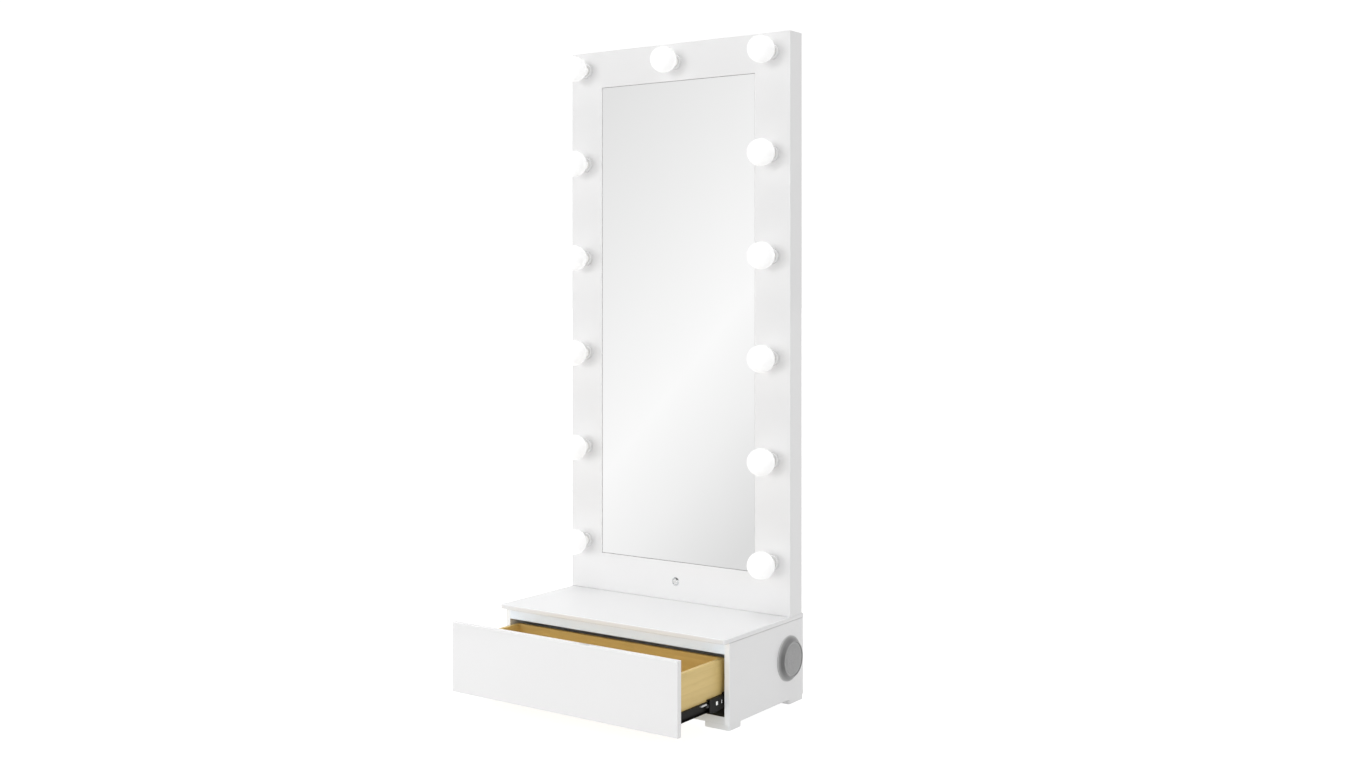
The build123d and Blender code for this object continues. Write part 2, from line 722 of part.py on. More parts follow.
for name, side in SIDES.items():
    with BuildPart() as slide_outer:
        member(side, INNER, OUTER_REACH, OUTER_HALF, OUTER_SPAN, lip=LIP)
    save(slide_outer, f"slide_outer_{name}")

    with BuildPart() as slide_middle:
        member(side, MIDDLE_WEB, MIDDLE_REACH, MIDDLE_HALF, middle_span, lip=LIP)
        for behind, length in WINDOWS:
            centre_y = middle_span[0] + behind
            block(
                span(side, MIDDLE_WEB - STEEL, MIDDLE_WEB),
                (centre_y - length / 2, centre_y + length / 2),
                (SLIDE_Z + WINDOW_Z[0], SLIDE_Z + WINDOW_Z[1]),
                mode=Mode.SUBTRACT,
            )
    save(slide_middle, f"slide_middle_{name}")

    with BuildPart() as slide_inner:
        member(side, BOX_HALF_WIDTH, INNER_REACH, INNER_HALF, inner_span)
    save(slide_inner, f"slide_inner_{name}")

with BuildPart() as ball_cages_outer:
    web_x = MIDDLE_WEB + WEB_GAP / 2
    ball_x = INNER - OUTER_BALL
    for side in SIDES.values():
        cage_span = shifted(OUTER_CAGE_CLOSED, DRAWER_OPEN / 4)
        cage(side, web_x, ball_x, MIDDLE_HALF, OUTER_HALF - STEEL, cage_span)
save(ball_cages_outer, "ball_cages_outer")

with BuildPart() as ball_cages_inner:
    web_x = INNER_REACH + WEB_GAP / 2
    ball_x = INNER - INNER_BALL
    for side in SIDES.values():
        cage_span = shifted(INNER_CAGE_CLOSED, DRAWER_OPEN * 3 / 4)
        cage(side, web_x, ball_x, INNER_HALF, MIDDLE_HALF - STEEL, cage_span)
save(ball_cages_inner, "ball_cages_inner")

# ================================================================ fittings
# Bolts from under the slab hold the tower down.
BOLT_HEAD = (6.5, 5)             # radius, height
NUT = (7.5, 6.5)                 # radius across the corners, height
BOLT_END = 4                     # thread standing past the nut

nut_bottom = SLAB_TOP + BOARD

with BuildPart() as tower_bolts:
    with BuildSketch(Plane.XY.offset(SLAB_BOTTOM - BOLT_HEAD[1])):
        with Locations(*bolt_places):
            Circle(BOLT_HEAD[0])
    extrude(amount=BOLT_HEAD[1])
    with BuildSketch(Plane.XY.offset(SLAB_BOTTOM)):
        with Locations(*bolt_places):
            Circle(BOLT_RADIUS)
    extrude(amount=nut_bottom + NUT[1] + BOLT_END - SLAB_BOTTOM)
    with BuildSketch(Plane.XY.offset(nut_bottom)):
        with Locations(*bolt_places):
            RegularPolygon(NUT[0], 6)
    extrude(amount=NUT[1])
save(tower_bolts, "tower_bolts")

# Small angle brackets behind the tower take a strap to the wall, so that it can't tip.
STRAP_X = 300
STRAP_Z = 1850
STRAP_WIDE = 30
STRAP_LEG = 40
STRAP_THICK = 2
STRAP_HOLE = 2.5
STRAP_HOLE_OUT = 6               # hole's centre behind the tower
STRAP_HOLE_Y = TOWER_BACK + STRAP_HOLE_OUT

with BuildPart() as strap_brackets:
    for side in SIDES.values():
        x_limits = span(side, STRAP_X - STRAP_WIDE / 2, STRAP_X + STRAP_WIDE / 2)
        leg_z = (STRAP_Z - STRAP_LEG, STRAP_Z)
        block(x_limits, (TOWER_BACK, TOWER_BACK + STRAP_THICK), leg_z)
        block(x_limits, (TOWER_BACK, BODY_BACK), (STRAP_Z - STRAP_THICK, STRAP_Z))
    with Locations((-STRAP_X, STRAP_HOLE_Y, STRAP_Z), (STRAP_X, STRAP_HOLE_Y, STRAP_Z)):
        Hole(STRAP_HOLE, depth=STRAP_THICK)
save(strap_brackets, "strap_brackets")

# The lamps' driver and the loudspeakers' amplifier stand behind the partition.
CASE_ROUND = 3
DRIVER_X = (-290, -140)
DRIVER_Y = (225, 273)
DRIVER_HIGH = 28
AMPLIFIER_X = (20, 130)
AMPLIFIER_Y = (212, 276)
AMPLIFIER_HIGH = 24

with BuildPart() as led_driver:
    block(DRIVER_X, DRIVER_Y, (BOTTOM_TOP, BOTTOM_TOP + DRIVER_HIGH))
    fillet(led_driver.edges().filter_by(Axis.Z), CASE_ROUND)
save(led_driver, "led_driver")

with BuildPart() as amplifier:
    block(AMPLIFIER_X, AMPLIFIER_Y, (BOTTOM_TOP, BOTTOM_TOP + AMPLIFIER_HIGH))
    fillet(amplifier.edges().filter_by(Axis.Z), CASE_ROUND)
save(amplifier, "amplifier")

# A two-pin appliance inlet in the cabinet's back.
INLET_FRONT = 285
INLET_CAVITY = (19, 10)
CAVITY_DEPTH = 16
PIN_RADIUS = 1.2
PIN_SPACING = 8.6
PIN_LENGTH = 10
INLET_CLEAR = 0.2

inlet_plane = Plane((INLET_X, inset_back, INLET_Z), x_dir=(-1, 0, 0), z_dir=(0, 1, 0))

with BuildPart() as power_inlet:
    with BuildSketch(inlet_plane):
        RectangleRounded(*INLET_FLANGE, CASE_ROUND)
    extrude(amount=BACK_INSET)
    with BuildSketch(inlet_plane):
        Rectangle(INLET_BODY[0] - 2 * INLET_CLEAR, INLET_BODY[1] - 2 * INLET_CLEAR)
    extrude(amount=-(inset_back - INLET_FRONT))
    with BuildSketch(inlet_plane.offset(BACK_INSET)):
        RectangleRounded(*INLET_CAVITY, CASE_ROUND)
    extrude(amount=-CAVITY_DEPTH, mode=Mode.SUBTRACT)
    with BuildSketch(inlet_plane.offset(BACK_INSET - CAVITY_DEPTH)):
        with GridLocations(PIN_SPACING, 0, 2, 1):
            Circle(PIN_RADIUS)
    extrude(amount=PIN_LENGTH)
save(power_inlet, "power_inlet")

# The lamps' cable climbs one side of the tower behind the sockets, crosses the top and comes
# down the other side.
CABLE_RADIUS = 3
CABLE_Y = 276
CABLE_BEND = 25
CABLE_RISE = (-200, 262)         # where it leaves the driver's case, in X and Y
CABLE_OVER_CASE = 60             # how high it stands before it turns towards the tower
CABLE_UNDER_SLAB = 50
CABLE_ABOVE_LAMPS = 16
CABLE_TOP_Z = LAMP_TOP_Z + CABLE_ABOVE_LAMPS
driver_top = BOTTOM_TOP + DRIVER_HIGH
cable_end_z = lamp_rows[-1] - SOCKET_RADIUS

with BuildPart() as lamp_cable:
    with BuildLine() as cable_line:
        FilletPolyline(
            (*CABLE_RISE, driver_top),
            (*CABLE_RISE, driver_top + CABLE_OVER_CASE),
            (CABLE_X, CABLE_Y, SLAB_BOTTOM - CABLE_UNDER_SLAB),
            (CABLE_X, CABLE_Y, CABLE_TOP_Z),
            (-CABLE_X, CABLE_Y, CABLE_TOP_Z),
            (-CABLE_X, CABLE_Y, cable_end_z),
            radius=CABLE_BEND,
        )
    with BuildSketch(Plane((*CABLE_RISE, driver_top), z_dir=(0, 0, 1))):
        Circle(CABLE_RADIUS)
    sweep()
save(lamp_cable, "lamp_cable")
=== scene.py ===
import math

import bmesh
import bpy
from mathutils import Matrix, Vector


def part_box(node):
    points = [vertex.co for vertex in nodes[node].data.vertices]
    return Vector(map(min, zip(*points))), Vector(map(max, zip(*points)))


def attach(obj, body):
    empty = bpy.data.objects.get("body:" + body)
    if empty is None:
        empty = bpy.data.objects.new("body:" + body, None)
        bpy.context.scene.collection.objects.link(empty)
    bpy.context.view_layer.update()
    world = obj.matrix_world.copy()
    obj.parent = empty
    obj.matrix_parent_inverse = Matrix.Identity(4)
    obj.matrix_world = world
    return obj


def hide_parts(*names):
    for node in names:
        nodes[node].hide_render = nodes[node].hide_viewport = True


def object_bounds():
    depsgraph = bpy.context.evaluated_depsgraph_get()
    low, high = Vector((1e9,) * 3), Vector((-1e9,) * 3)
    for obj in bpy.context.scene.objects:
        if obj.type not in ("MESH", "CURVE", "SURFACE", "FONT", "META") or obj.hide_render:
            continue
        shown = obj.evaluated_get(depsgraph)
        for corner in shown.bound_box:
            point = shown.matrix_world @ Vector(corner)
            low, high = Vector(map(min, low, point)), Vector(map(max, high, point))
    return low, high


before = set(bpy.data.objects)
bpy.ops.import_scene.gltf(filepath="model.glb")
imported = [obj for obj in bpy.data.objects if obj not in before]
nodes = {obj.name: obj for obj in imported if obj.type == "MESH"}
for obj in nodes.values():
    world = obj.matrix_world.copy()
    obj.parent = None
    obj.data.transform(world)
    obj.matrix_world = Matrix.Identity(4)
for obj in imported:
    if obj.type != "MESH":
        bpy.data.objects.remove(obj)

# A lighted dressing mirror on a low cabinet with one drawer. Lengths are in metres, in the frame of
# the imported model: +X to the right, +Y towards the wall, +Z up, the floor at z = 0.

MM = 0.001
SIDES = {"left": -1, "right": 1}
cad_low, cad_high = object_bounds()


# ================================================================ material helpers


def add(tree, kind, inputs=None, **properties):
    """A new node, with plain values or links put into its inputs."""
    node = tree.nodes.new(kind)
    for key, value in properties.items():
        setattr(node, key, value)
    for socket, value in (inputs or {}).items():
        if isinstance(value, bpy.types.NodeSocket):
            tree.links.new(value, node.inputs[socket])
        else:
            node.inputs[socket].default_value = value
    return node


def principled(name, **values):
    """A material with one Principled shader, its uniform values set on the shader's own sockets."""
    material = bpy.data.materials.new(name)
    material.use_nodes = True
    tree = material.node_tree
    shader = tree.nodes["Principled BSDF"]
    for key, value in values.items():
        shader.inputs[key.replace("_", " ")].default_value = value
    return material, tree, shader


def link_surface(tree, shader, colour, roughness, normal=None):
    """Links what varies over a surface into its shader."""
    tree.links.new(colour, shader.inputs["Base Color"])
    tree.links.new(roughness, shader.inputs["Roughness"])
    if normal is not None:
        tree.links.new(normal, shader.inputs["Normal"])


def place_of(tree, scale=(1, 1, 1)):
    """Coordinates in metres that stay with the piece, stretched by scale."""
    where = add(tree, "ShaderNodeTexCoord")
    mapping = add(tree, "ShaderNodeMapping", {"Vector": where.outputs["Object"], "Scale": scale})
    return mapping.outputs["Vector"]


def axes_of(tree, vector):
    """The outputs X, Y and Z of a vector."""
    return add(tree, "ShaderNodeSeparateXYZ", {"Vector": vector}).outputs


def noise(tree, where, scale, detail=2.0, roughness=0.5, distortion=0.0):
    """Noise from 0 to 1; scale is in features per metre."""
    values = {"Vector": where, "Scale": scale, "Detail": detail, "Roughness": roughness,
              "Distortion": distortion}
    return add(tree, "ShaderNodeTexNoise", values).outputs["Fac"]


def remap(tree, value, low, high, to_low, to_high):
    """The value's stretch from low to high, clamped, carried over to another stretch."""
    values = {"Value": value, "From Min": low, "From Max": high, "To Min": to_low, "To Max": to_high}
    return add(tree, "ShaderNodeMapRange", values).outputs["Result"]


NOISE_LOW, NOISE_HIGH = 0.3, 0.7        # most of a noise lies between these


def spread(tree, drift, to_low, to_high):
    """A noise carried over to the stretch between two values."""
    return remap(tree, drift, NOISE_LOW, NOISE_HIGH, to_low, to_high)


def blend_colours(tree, factor, first, second, mode="MIX"):
    """The first colour, going over to the second as the factor goes from 0 to 1."""
    mix = add(tree, "ShaderNodeMix", data_type="RGBA", blend_type=mode)
    for index, value in ((0, factor), (6, first), (7, second)):
        if isinstance(value, bpy.types.NodeSocket):
            tree.links.new(value, mix.inputs[index])
        else:
            mix.inputs[index].default_value = value
    return mix.outputs[2]


def bump(tree, height, depth, before=None):
    """A bump of a depth in metres, laid over another one."""
    values = {"Height": height, "Distance": depth, "Strength": 1.0}
    if before is not None:
        values["Normal"] = before
    return add(tree, "ShaderNodeBump", values).outputs["Normal"]


def maths(tree, operation, first, second=0.5):
    """One step of arithmetic."""
    return add(tree, "ShaderNodeMath", {0: first, 1: second}, operation=operation).outputs[0]


def vector_maths(tree, operation, first, second=(0, 0, 0), output="Vector"):
    """One step of arithmetic with vectors."""
    values = {0: first, 1: second}
    return add(tree, "ShaderNodeVectorMath", values, operation=operation).outputs[output]


def facing_along(tree, axis):
    """How far the true surface looks along +X, +Y or +Z, from -1 to 1."""
    return axes_of(tree, add(tree, "ShaderNodeNewGeometry").outputs["True Normal"])[axis]


def grey(level):
    return (level, level, level, 1.0)


# ================================================================ colours
# Linear colours. Most surfaces drift between the two of a pair.

LACQUER = ((0.868, 0.866, 0.866, 1), (0.886, 0.884, 0.883, 1))
LACQUER_NIB = (0.70, 0.69, 0.67, 1)
BOARD_WHITE = (grey(0.862), grey(0.88))
# Painted shade: the bottom board's dark inner face stands in for the shade under the drawer.
BOARD_PAINTED_SHADE = ((0.035, 0.038, 0.034, 1), (0.06, 0.063, 0.058, 1))
HARDBOARD_WHITE = ((0.80, 0.79, 0.77, 1), (0.86, 0.855, 0.84, 1))
HARDBOARD_BROWN = ((0.16, 0.095, 0.05, 1), (0.34, 0.22, 0.13, 1))
BIRCH = ((0.80, 0.60, 0.235, 1), (0.755, 0.555, 0.21, 1))
BIRCH_TINT = ((0.95, 0.945, 0.93, 1), (1.04, 1.035, 1.03, 1))
BIRCH_FLECK = (0.42, 0.27, 0.11, 1)
SPUN_STEEL = (grey(0.80), grey(0.90))
SLIDE_COAT = ((0.0035, 0.003, 0.0022, 1), (0.007, 0.006, 0.0045, 1))
SILVERING = ((0.961, 0.962, 0.961, 1), (0.970, 0.971, 0.970, 1))
OPAL = ((0.93, 0.93, 0.928, 1), (0.97, 0.97, 0.968, 1))
OPAL_GLOW = (1, 0.997, 0.99, 1)
CHROME = ((0.70, 0.71, 0.72, 1), (0.76, 0.77, 0.78, 1))
BEARING = ((0.72, 0.72, 0.70, 1), (0.82, 0.82, 0.80, 1))
ZINC = ((0.60, 0.62, 0.64, 1), (0.74, 0.74, 0.72, 1))
NICKEL = ((0.70, 0.66, 0.56, 1), (0.82, 0.78, 0.68, 1))
GLAZE = (grey(0.84), grey(0.88))
# Painted light on the loudspeaker's surround: a shadow line at its foot, a highlight in its pale rim, and
# sheen that makes its wall paler above and below.
BEZEL_SHADOW_LINE = grey(0.25)
BEZEL_RIM_AND_HIGHLIGHT = (grey(0.56), grey(0.62))
BEZEL_WALL_FOOT = grey(0.40)
BEZEL_WALL_AND_SHEEN = (grey(0.145), grey(0.25))
BEZEL_FACE = (grey(0.30), grey(0.335))
MESH_PAINT = (grey(0.60), grey(0.68))
BLACK_PAINT = (grey(0.018), grey(0.035))
CASE_BLACK = (grey(0.022), grey(0.034))
LEVER_PALE = (grey(0.74), grey(0.80))
JACKET_PALE = (grey(0.76), grey(0.80))


# ================================================================ materials


def make_lacquer():
    """White gloss lacquer: faint orange peel, long waves of the board under it, a breath of haze."""
    material, tree, shader = principled("white_lacquer", IOR=1.5)
    where = place_of(tree)
    colour = blend_colours(tree, noise(tree, where, 3.0, detail=3.0), *LACQUER)
    nibs = add(tree, "ShaderNodeTexVoronoi", {"Vector": where, "Scale": 240.0}).outputs["Distance"]
    colour = blend_colours(tree, remap(tree, nibs, 0.03, 0.07, 0.3, 0.0), colour, LACQUER_NIB)
    haze = remap(tree, noise(tree, where, 9.0, detail=5.0), 0.35, 0.7, 0.02, 0.06)
    peel = bump(tree, noise(tree, where, 330.0), 3e-6)
    waves = bump(tree, noise(tree, where, 14.0), 4e-5, before=peel)
    link_surface(tree, shader, colour, haze, waves)
    return material


def make_carcass_board():
    """The cabinet's bottom board: white on its edges and below, plain dark grey on the face inside, which
    is painted shade for the dark under the drawer.
    """
    material, tree, shader = principled("carcass_board", IOR=1.5)
    where = place_of(tree)
    grain = noise(tree, where, 260.0, detail=4.0)
    white = blend_colours(tree, noise(tree, where, 3.0), *BOARD_WHITE)
    dark = blend_colours(tree, grain, *BOARD_PAINTED_SHADE)
    # Painted shade on the face that looks up inside the cabinet.
    inside = remap(tree, facing_along(tree, "Z"), 0.75, 0.85, 0.0, 1.0)
    roughness = remap(tree, inside, 0.0, 1.0, 0.06, 0.5)
    link_surface(tree, shader, blend_colours(tree, inside, white, dark), roughness, bump(tree, grain, 1e-5))
    return material


def make_hardboard():
    """Thin hardboard: a matt white face front and back, brown fibres where its edge is cut."""
    material, tree, shader = principled("hardboard")
    fibres = noise(tree, place_of(tree, (1, 1, 0.35)), 620.0, detail=4.0)
    white = blend_colours(tree, fibres, *HARDBOARD_WHITE)
    brown = blend_colours(tree, fibres, *HARDBOARD_BROWN)
    edge = remap(tree, maths(tree, "ABSOLUTE", facing_along(tree, "Y")), 0.55, 0.65, 1.0, 0.0)
    roughness = spread(tree, noise(tree, place_of(tree), 40.0, detail=3.0), 0.42, 0.6)
    link_surface(tree, shader, blend_colours(tree, edge, white, brown), roughness, bump(tree, fibres, 6e-5))
    return material


STAVE_WIDTH = 44 * MM
STAVE_LENGTH = 310 * MM
STAVE_SHIFT = 0.137                     # each row of staves starts this far along from the last
GRAIN_STRETCH = {"X": (0.05, 1, 1), "Y": (1, 0.05, 1)}       # the grain is 20 times as long as wide


def make_birch(name, along):
    """Clear-lacquered pale wood with its grain along one axis, glued up from staves."""
    material, tree, shader = principled(name, IOR=1.46)
    axes = axes_of(tree, place_of(tree))
    row = maths(tree, "FLOOR", maths(tree, "MULTIPLY", axes["Z"], 1 / STAVE_WIDTH))
    shifted = maths(tree, "ADD", axes[along], maths(tree, "MULTIPLY", row, STAVE_SHIFT))
    stave = maths(tree, "FLOOR", maths(tree, "MULTIPLY", shifted, 1 / STAVE_LENGTH))
    key = add(tree, "ShaderNodeCombineXYZ", {"X": row, "Y": stave}).outputs["Vector"]
    pick = add(tree, "ShaderNodeTexWhiteNoise", {"Vector": key}, noise_dimensions="3D").outputs["Value"]
    offset = add(tree, "ShaderNodeCombineXYZ", {"X": pick, "Y": pick, "Z": pick}).outputs["Vector"]
    moved = vector_maths(tree, "ADD", place_of(tree, GRAIN_STRETCH[along]), offset)
    figure = noise(tree, moved, 22.0, detail=3.0, distortion=0.4)
    rings = maths(tree, "PINGPONG", maths(tree, "MULTIPLY", figure, 9.0), 1.0)
    pores = noise(tree, moved, 520.0, detail=3.0, roughness=0.7)
    fleck = remap(tree, pores, 0.56, 0.76, 0.0, 0.22)
    tint = blend_colours(tree, pick, *BIRCH_TINT)
    colour = blend_colours(tree, 1.0, blend_colours(tree, rings, *BIRCH), tint, "MULTIPLY")
    colour = blend_colours(tree, fleck, colour, BIRCH_FLECK)
    surface = bump(tree, rings, 6e-6, before=bump(tree, pores, 2.5e-5))
    link_surface(tree, shader, colour, spread(tree, pores, 0.32, 0.46), surface)
    return material


def make_metal(name, pair, roughness, depth=6e-6):
    """Bare or plated metal: its polish and tone drift a little over the surface."""
    material, tree, shader = principled(name, Metallic=1.0)
    where = place_of(tree)
    drift = noise(tree, where, 60.0, detail=4.0)
    surface = bump(tree, noise(tree, where, 900.0), depth)
    link_surface(tree, shader, blend_colours(tree, drift, *pair), spread(tree, drift, *roughness), surface)
    return material


def make_spun_steel():
    """Steel turned on a lathe: fine rings round the button's own axis."""
    material, tree, shader = principled("spun_steel", Metallic=1.0)
    low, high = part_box("power_button_cap")
    centre = (low + high) / 2
    start = vector_maths(tree, "SUBTRACT", place_of(tree), (centre.x, 0, centre.z))
    flat = vector_maths(tree, "MULTIPLY", start, (1, 0, 1))
    radius = vector_maths(tree, "LENGTH", flat, output="Value")
    rings = add(tree, "ShaderNodeTexNoise", {"W": radius, "Scale": 5200.0, "Detail": 3.0},
                noise_dimensions="1D").outputs["Fac"]
    colour = blend_colours(tree, rings, *SPUN_STEEL)
    link_surface(tree, shader, colour, spread(tree, rings, 0.12, 0.24), bump(tree, rings, 1.2e-5))
    return material


def make_slide_coat():
    """Black electro-coat on rolled steel, with a fine even grit and a faint brown cast."""
    material, tree, shader = principled("slide_coat", Specular_IOR_Level=0.10)
    where = place_of(tree)
    drift = noise(tree, where, 45.0, detail=4.0)
    colour = blend_colours(tree, drift, *SLIDE_COAT)
    surface = bump(tree, noise(tree, where, 1500.0), 8e-6)
    link_surface(tree, shader, colour, spread(tree, drift, 0.34, 0.48), surface)
    return material


def make_mirror():
    """Silvered float glass, with the least trace of wiping marks."""
    material, tree, shader = principled("mirror", Metallic=1.0)
    wipe = noise(tree, place_of(tree, (1, 1, 0.3)), 11.0, detail=5.0)
    colour = blend_colours(tree, wipe, *SILVERING)
    link_surface(tree, shader, colour, remap(tree, wipe, 0.4, 0.8, 0.0, 0.03))
    return material


def make_opal():
    """Satin opal glass that spreads light through its wall, so it hardly shades."""
    material, tree, shader = principled(
        "opal_glass", IOR=1.5, Subsurface_Weight=0.35, Subsurface_Scale=0.006,
        Subsurface_Radius=(1, 1, 1), Emission_Color=OPAL_GLOW, Emission_Strength=0.21,
    )
    where = place_of(tree)
    cloud = noise(tree, where, 24.0, detail=3.0)
    surface = bump(tree, noise(tree, where, 500.0), 4e-6)
    link_surface(tree, shader, blend_colours(tree, cloud, *OPAL), spread(tree, cloud, 0.16, 0.26), surface)
    return material


def make_moulded(name, pair, roughness, grain=1400.0, depth=1.4e-5):
    """Moulded plastic, glaze or paint with an even fine texture."""
    material, tree, shader = principled(name, IOR=1.48)
    where = place_of(tree)
    drift = noise(tree, where, 35.0, detail=3.0)
    surface = bump(tree, noise(tree, where, grain), depth)
    link_surface(tree, shader, blend_colours(tree, drift, *pair), spread(tree, drift, *roughness), surface)
    return material


# Distances on the loudspeaker's surround. Over a pair's stretch one tone gives way to the next.
SHADOW_LINE_TO_RIM = (0.5 * MM, 0.9 * MM)    # out from the cabinet's side
RIM_TO_WALL = (2.4 * MM, 2.9 * MM)      # out from the cabinet's side
WALL_FOOT = 2.5 * MM                    # out from the cabinet's side, where the wall is palest
WALL_FULL = 7.0 * MM                    # back from the face, where it has its full tone
WALL_TO_FACE = (0.9 * MM, 0.3 * MM)     # back from the face
# The wall's painted sheen fades in over this stretch.
PAINTED_SHEEN_SPAN = (16 * MM, 46 * MM)       # above or below the centre


def make_bezel():
    """The loudspeaker's surround: a dark painted shadow line, a paler rim with a painted highlight, a dark
    sloping wall and a mid-grey face. The wall has painted sheen, so it looks lighter above and below than
    at its sides."""
    material, tree, shader = principled("speaker_plastic", IOR=1.48)
    low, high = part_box("speaker_bezel_right")
    where = place_of(tree)
    along = axes_of(tree, where)
    out = maths(tree, "ABSOLUTE", along["X"])
    off_centre = maths(tree, "ABSOLUTE", maths(tree, "SUBTRACT", along["Z"], (low.z + high.z) / 2))
    drift = noise(tree, where, 35.0, detail=3.0)
    face = blend_colours(tree, drift, *BEZEL_FACE)
    # Painted sheen: the wall is paler above and below its centre than at its sides.
    turned = remap(tree, off_centre, *PAINTED_SHEEN_SPAN, 0.0, 1.0)
    up_wall = remap(tree, out, low.x + WALL_FOOT, high.x - WALL_FULL, 0.0, 1.0)
    wall = blend_colours(tree, up_wall, BEZEL_WALL_FOOT, blend_colours(tree, turned, *BEZEL_WALL_AND_SHEEN))
    # A painted shadow line at the rim's foot, then the rim's pale tone, which is partly a painted
    # highlight.
    on_rim = remap(tree, out, low.x + SHADOW_LINE_TO_RIM[0], low.x + SHADOW_LINE_TO_RIM[1], 0.0, 1.0)
    rim = blend_colours(tree, on_rim, BEZEL_SHADOW_LINE, blend_colours(tree, drift, *BEZEL_RIM_AND_HIGHLIGHT))
    on_wall = remap(tree, out, low.x + RIM_TO_WALL[0], low.x + RIM_TO_WALL[1], 0.0, 1.0)
    on_face = remap(tree, out, high.x - WALL_TO_FACE[0], high.x - WALL_TO_FACE[1], 0.0, 1.0)
    colour = blend_colours(tree, on_face, blend_colours(tree, on_wall, rim, wall), face)
    surface = bump(tree, noise(tree, where, 1400.0), 1.4e-5)
    link_surface(tree, shader, colour, spread(tree, drift, 0.30, 0.42), surface)
    return material


lacquer = make_lacquer()
hardboard = make_hardboard()
carcass_board = make_carcass_board()
birch_x = make_birch("birch_across", "X")
birch_y = make_birch("birch_along", "Y")
slide_coat = make_slide_coat()
mirror = make_mirror()
opal = make_opal()
spun_steel = make_spun_steel()
chrome = make_metal("chrome", CHROME, (0.03, 0.09), depth=2e-6)
collar = make_moulded("collar", GLAZE, (0.16, 0.26), grain=900.0, depth=6e-6)
bearing = make_metal("bearing_steel", BEARING, (0.10, 0.24))
zinc = make_metal("zinc_steel", ZINC, (0.22, 0.42), depth=1e-5)
brass = make_metal("nickel_brass", NICKEL, (0.16, 0.30))
porcelain = make_moulded("porcelain", GLAZE, (0.07, 0.16), grain=260.0, depth=1e-5)
bezel_plastic = make_bezel()
mesh_paint = make_moulded("speaker_mesh", MESH_PAINT, (0.40, 0.52), grain=2200.0)
black_paint = make_moulded("speaker_metal", BLACK_PAINT, (0.35, 0.55))
case_plastic = make_moulded("case_plastic", CASE_BLACK, (0.40, 0.55))
pale_plastic = make_moulded("lever_plastic", LEVER_PALE, (0.30, 0.42))
jacket = make_moulded("cable_jacket", JACKET_PALE, (0.32, 0.45), grain=700.0)

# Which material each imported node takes, by the start of its name; the first match counts.
NODE_MATERIALS = [
    ("tower_back_panel", hardboard), ("tower_bolts", zinc), ("tower_", lacquer),
    ("back_panel", hardboard), ("rear_divider", hardboard), ("mirror_backing", hardboard),
    ("top_slab", lacquer), ("side_panel", lacquer), ("bottom_panel", carcass_board),
    ("front_rail", lacquer), ("feet_", lacquer), ("drawer_front", lacquer),
    ("drawer_side", birch_y), ("drawer_", birch_x), ("slide_", slide_coat),
    ("ball_cages", bearing), ("mirror_glass", mirror), ("mirror_clips", zinc),
    ("strap_brackets", zinc), ("bulb_", opal), ("lamp_sockets", porcelain),
    ("socket_collars", collar), ("power_button", chrome), ("speaker_bezel", bezel_plastic),
    ("speaker_grille", mesh_paint), ("speaker_drivers", black_paint),
    ("led_driver", case_plastic), ("amplifier", case_plastic), ("power_inlet", case_plastic),
    ("lamp_cable", jacket),
]

for name, node in nodes.items():
    material = next(m for start, m in NODE_MATERIALS if name.startswith(start))
    node.data.materials.clear()
    node.data.materials.append(material)

# ================================================================ mesh helpers

EASE_STEPS = 5
SMOOTH_ANGLE = math.radians(35)         # edges flatter than this are shaded smooth
WELD_DISTANCE = 1e-6


def bend(start, knee, end, part):
    """The point that far along a curve from start to end, pulled towards its knee."""
    return start * (1 - part) ** 2 + knee * 2 * part * (1 - part) + end * part**2


def eased(corners):
    """A profile of (along, radius, ease) corners, each eased corner rounded over that length."""
    profile = []
    for index, (along, radius, ease) in enumerate(corners):
        here = Vector((along, radius))
        if not ease:
            profile.append((along, radius))
            continue
        start = here + (Vector(corners[index - 1][:2]) - here).normalized() * ease
        end = here + (Vector(corners[index + 1][:2]) - here).normalized() * ease
        for step in range(EASE_STEPS + 1):
            profile.append(tuple(bend(start, here, end, step / EASE_STEPS)))
    return profile


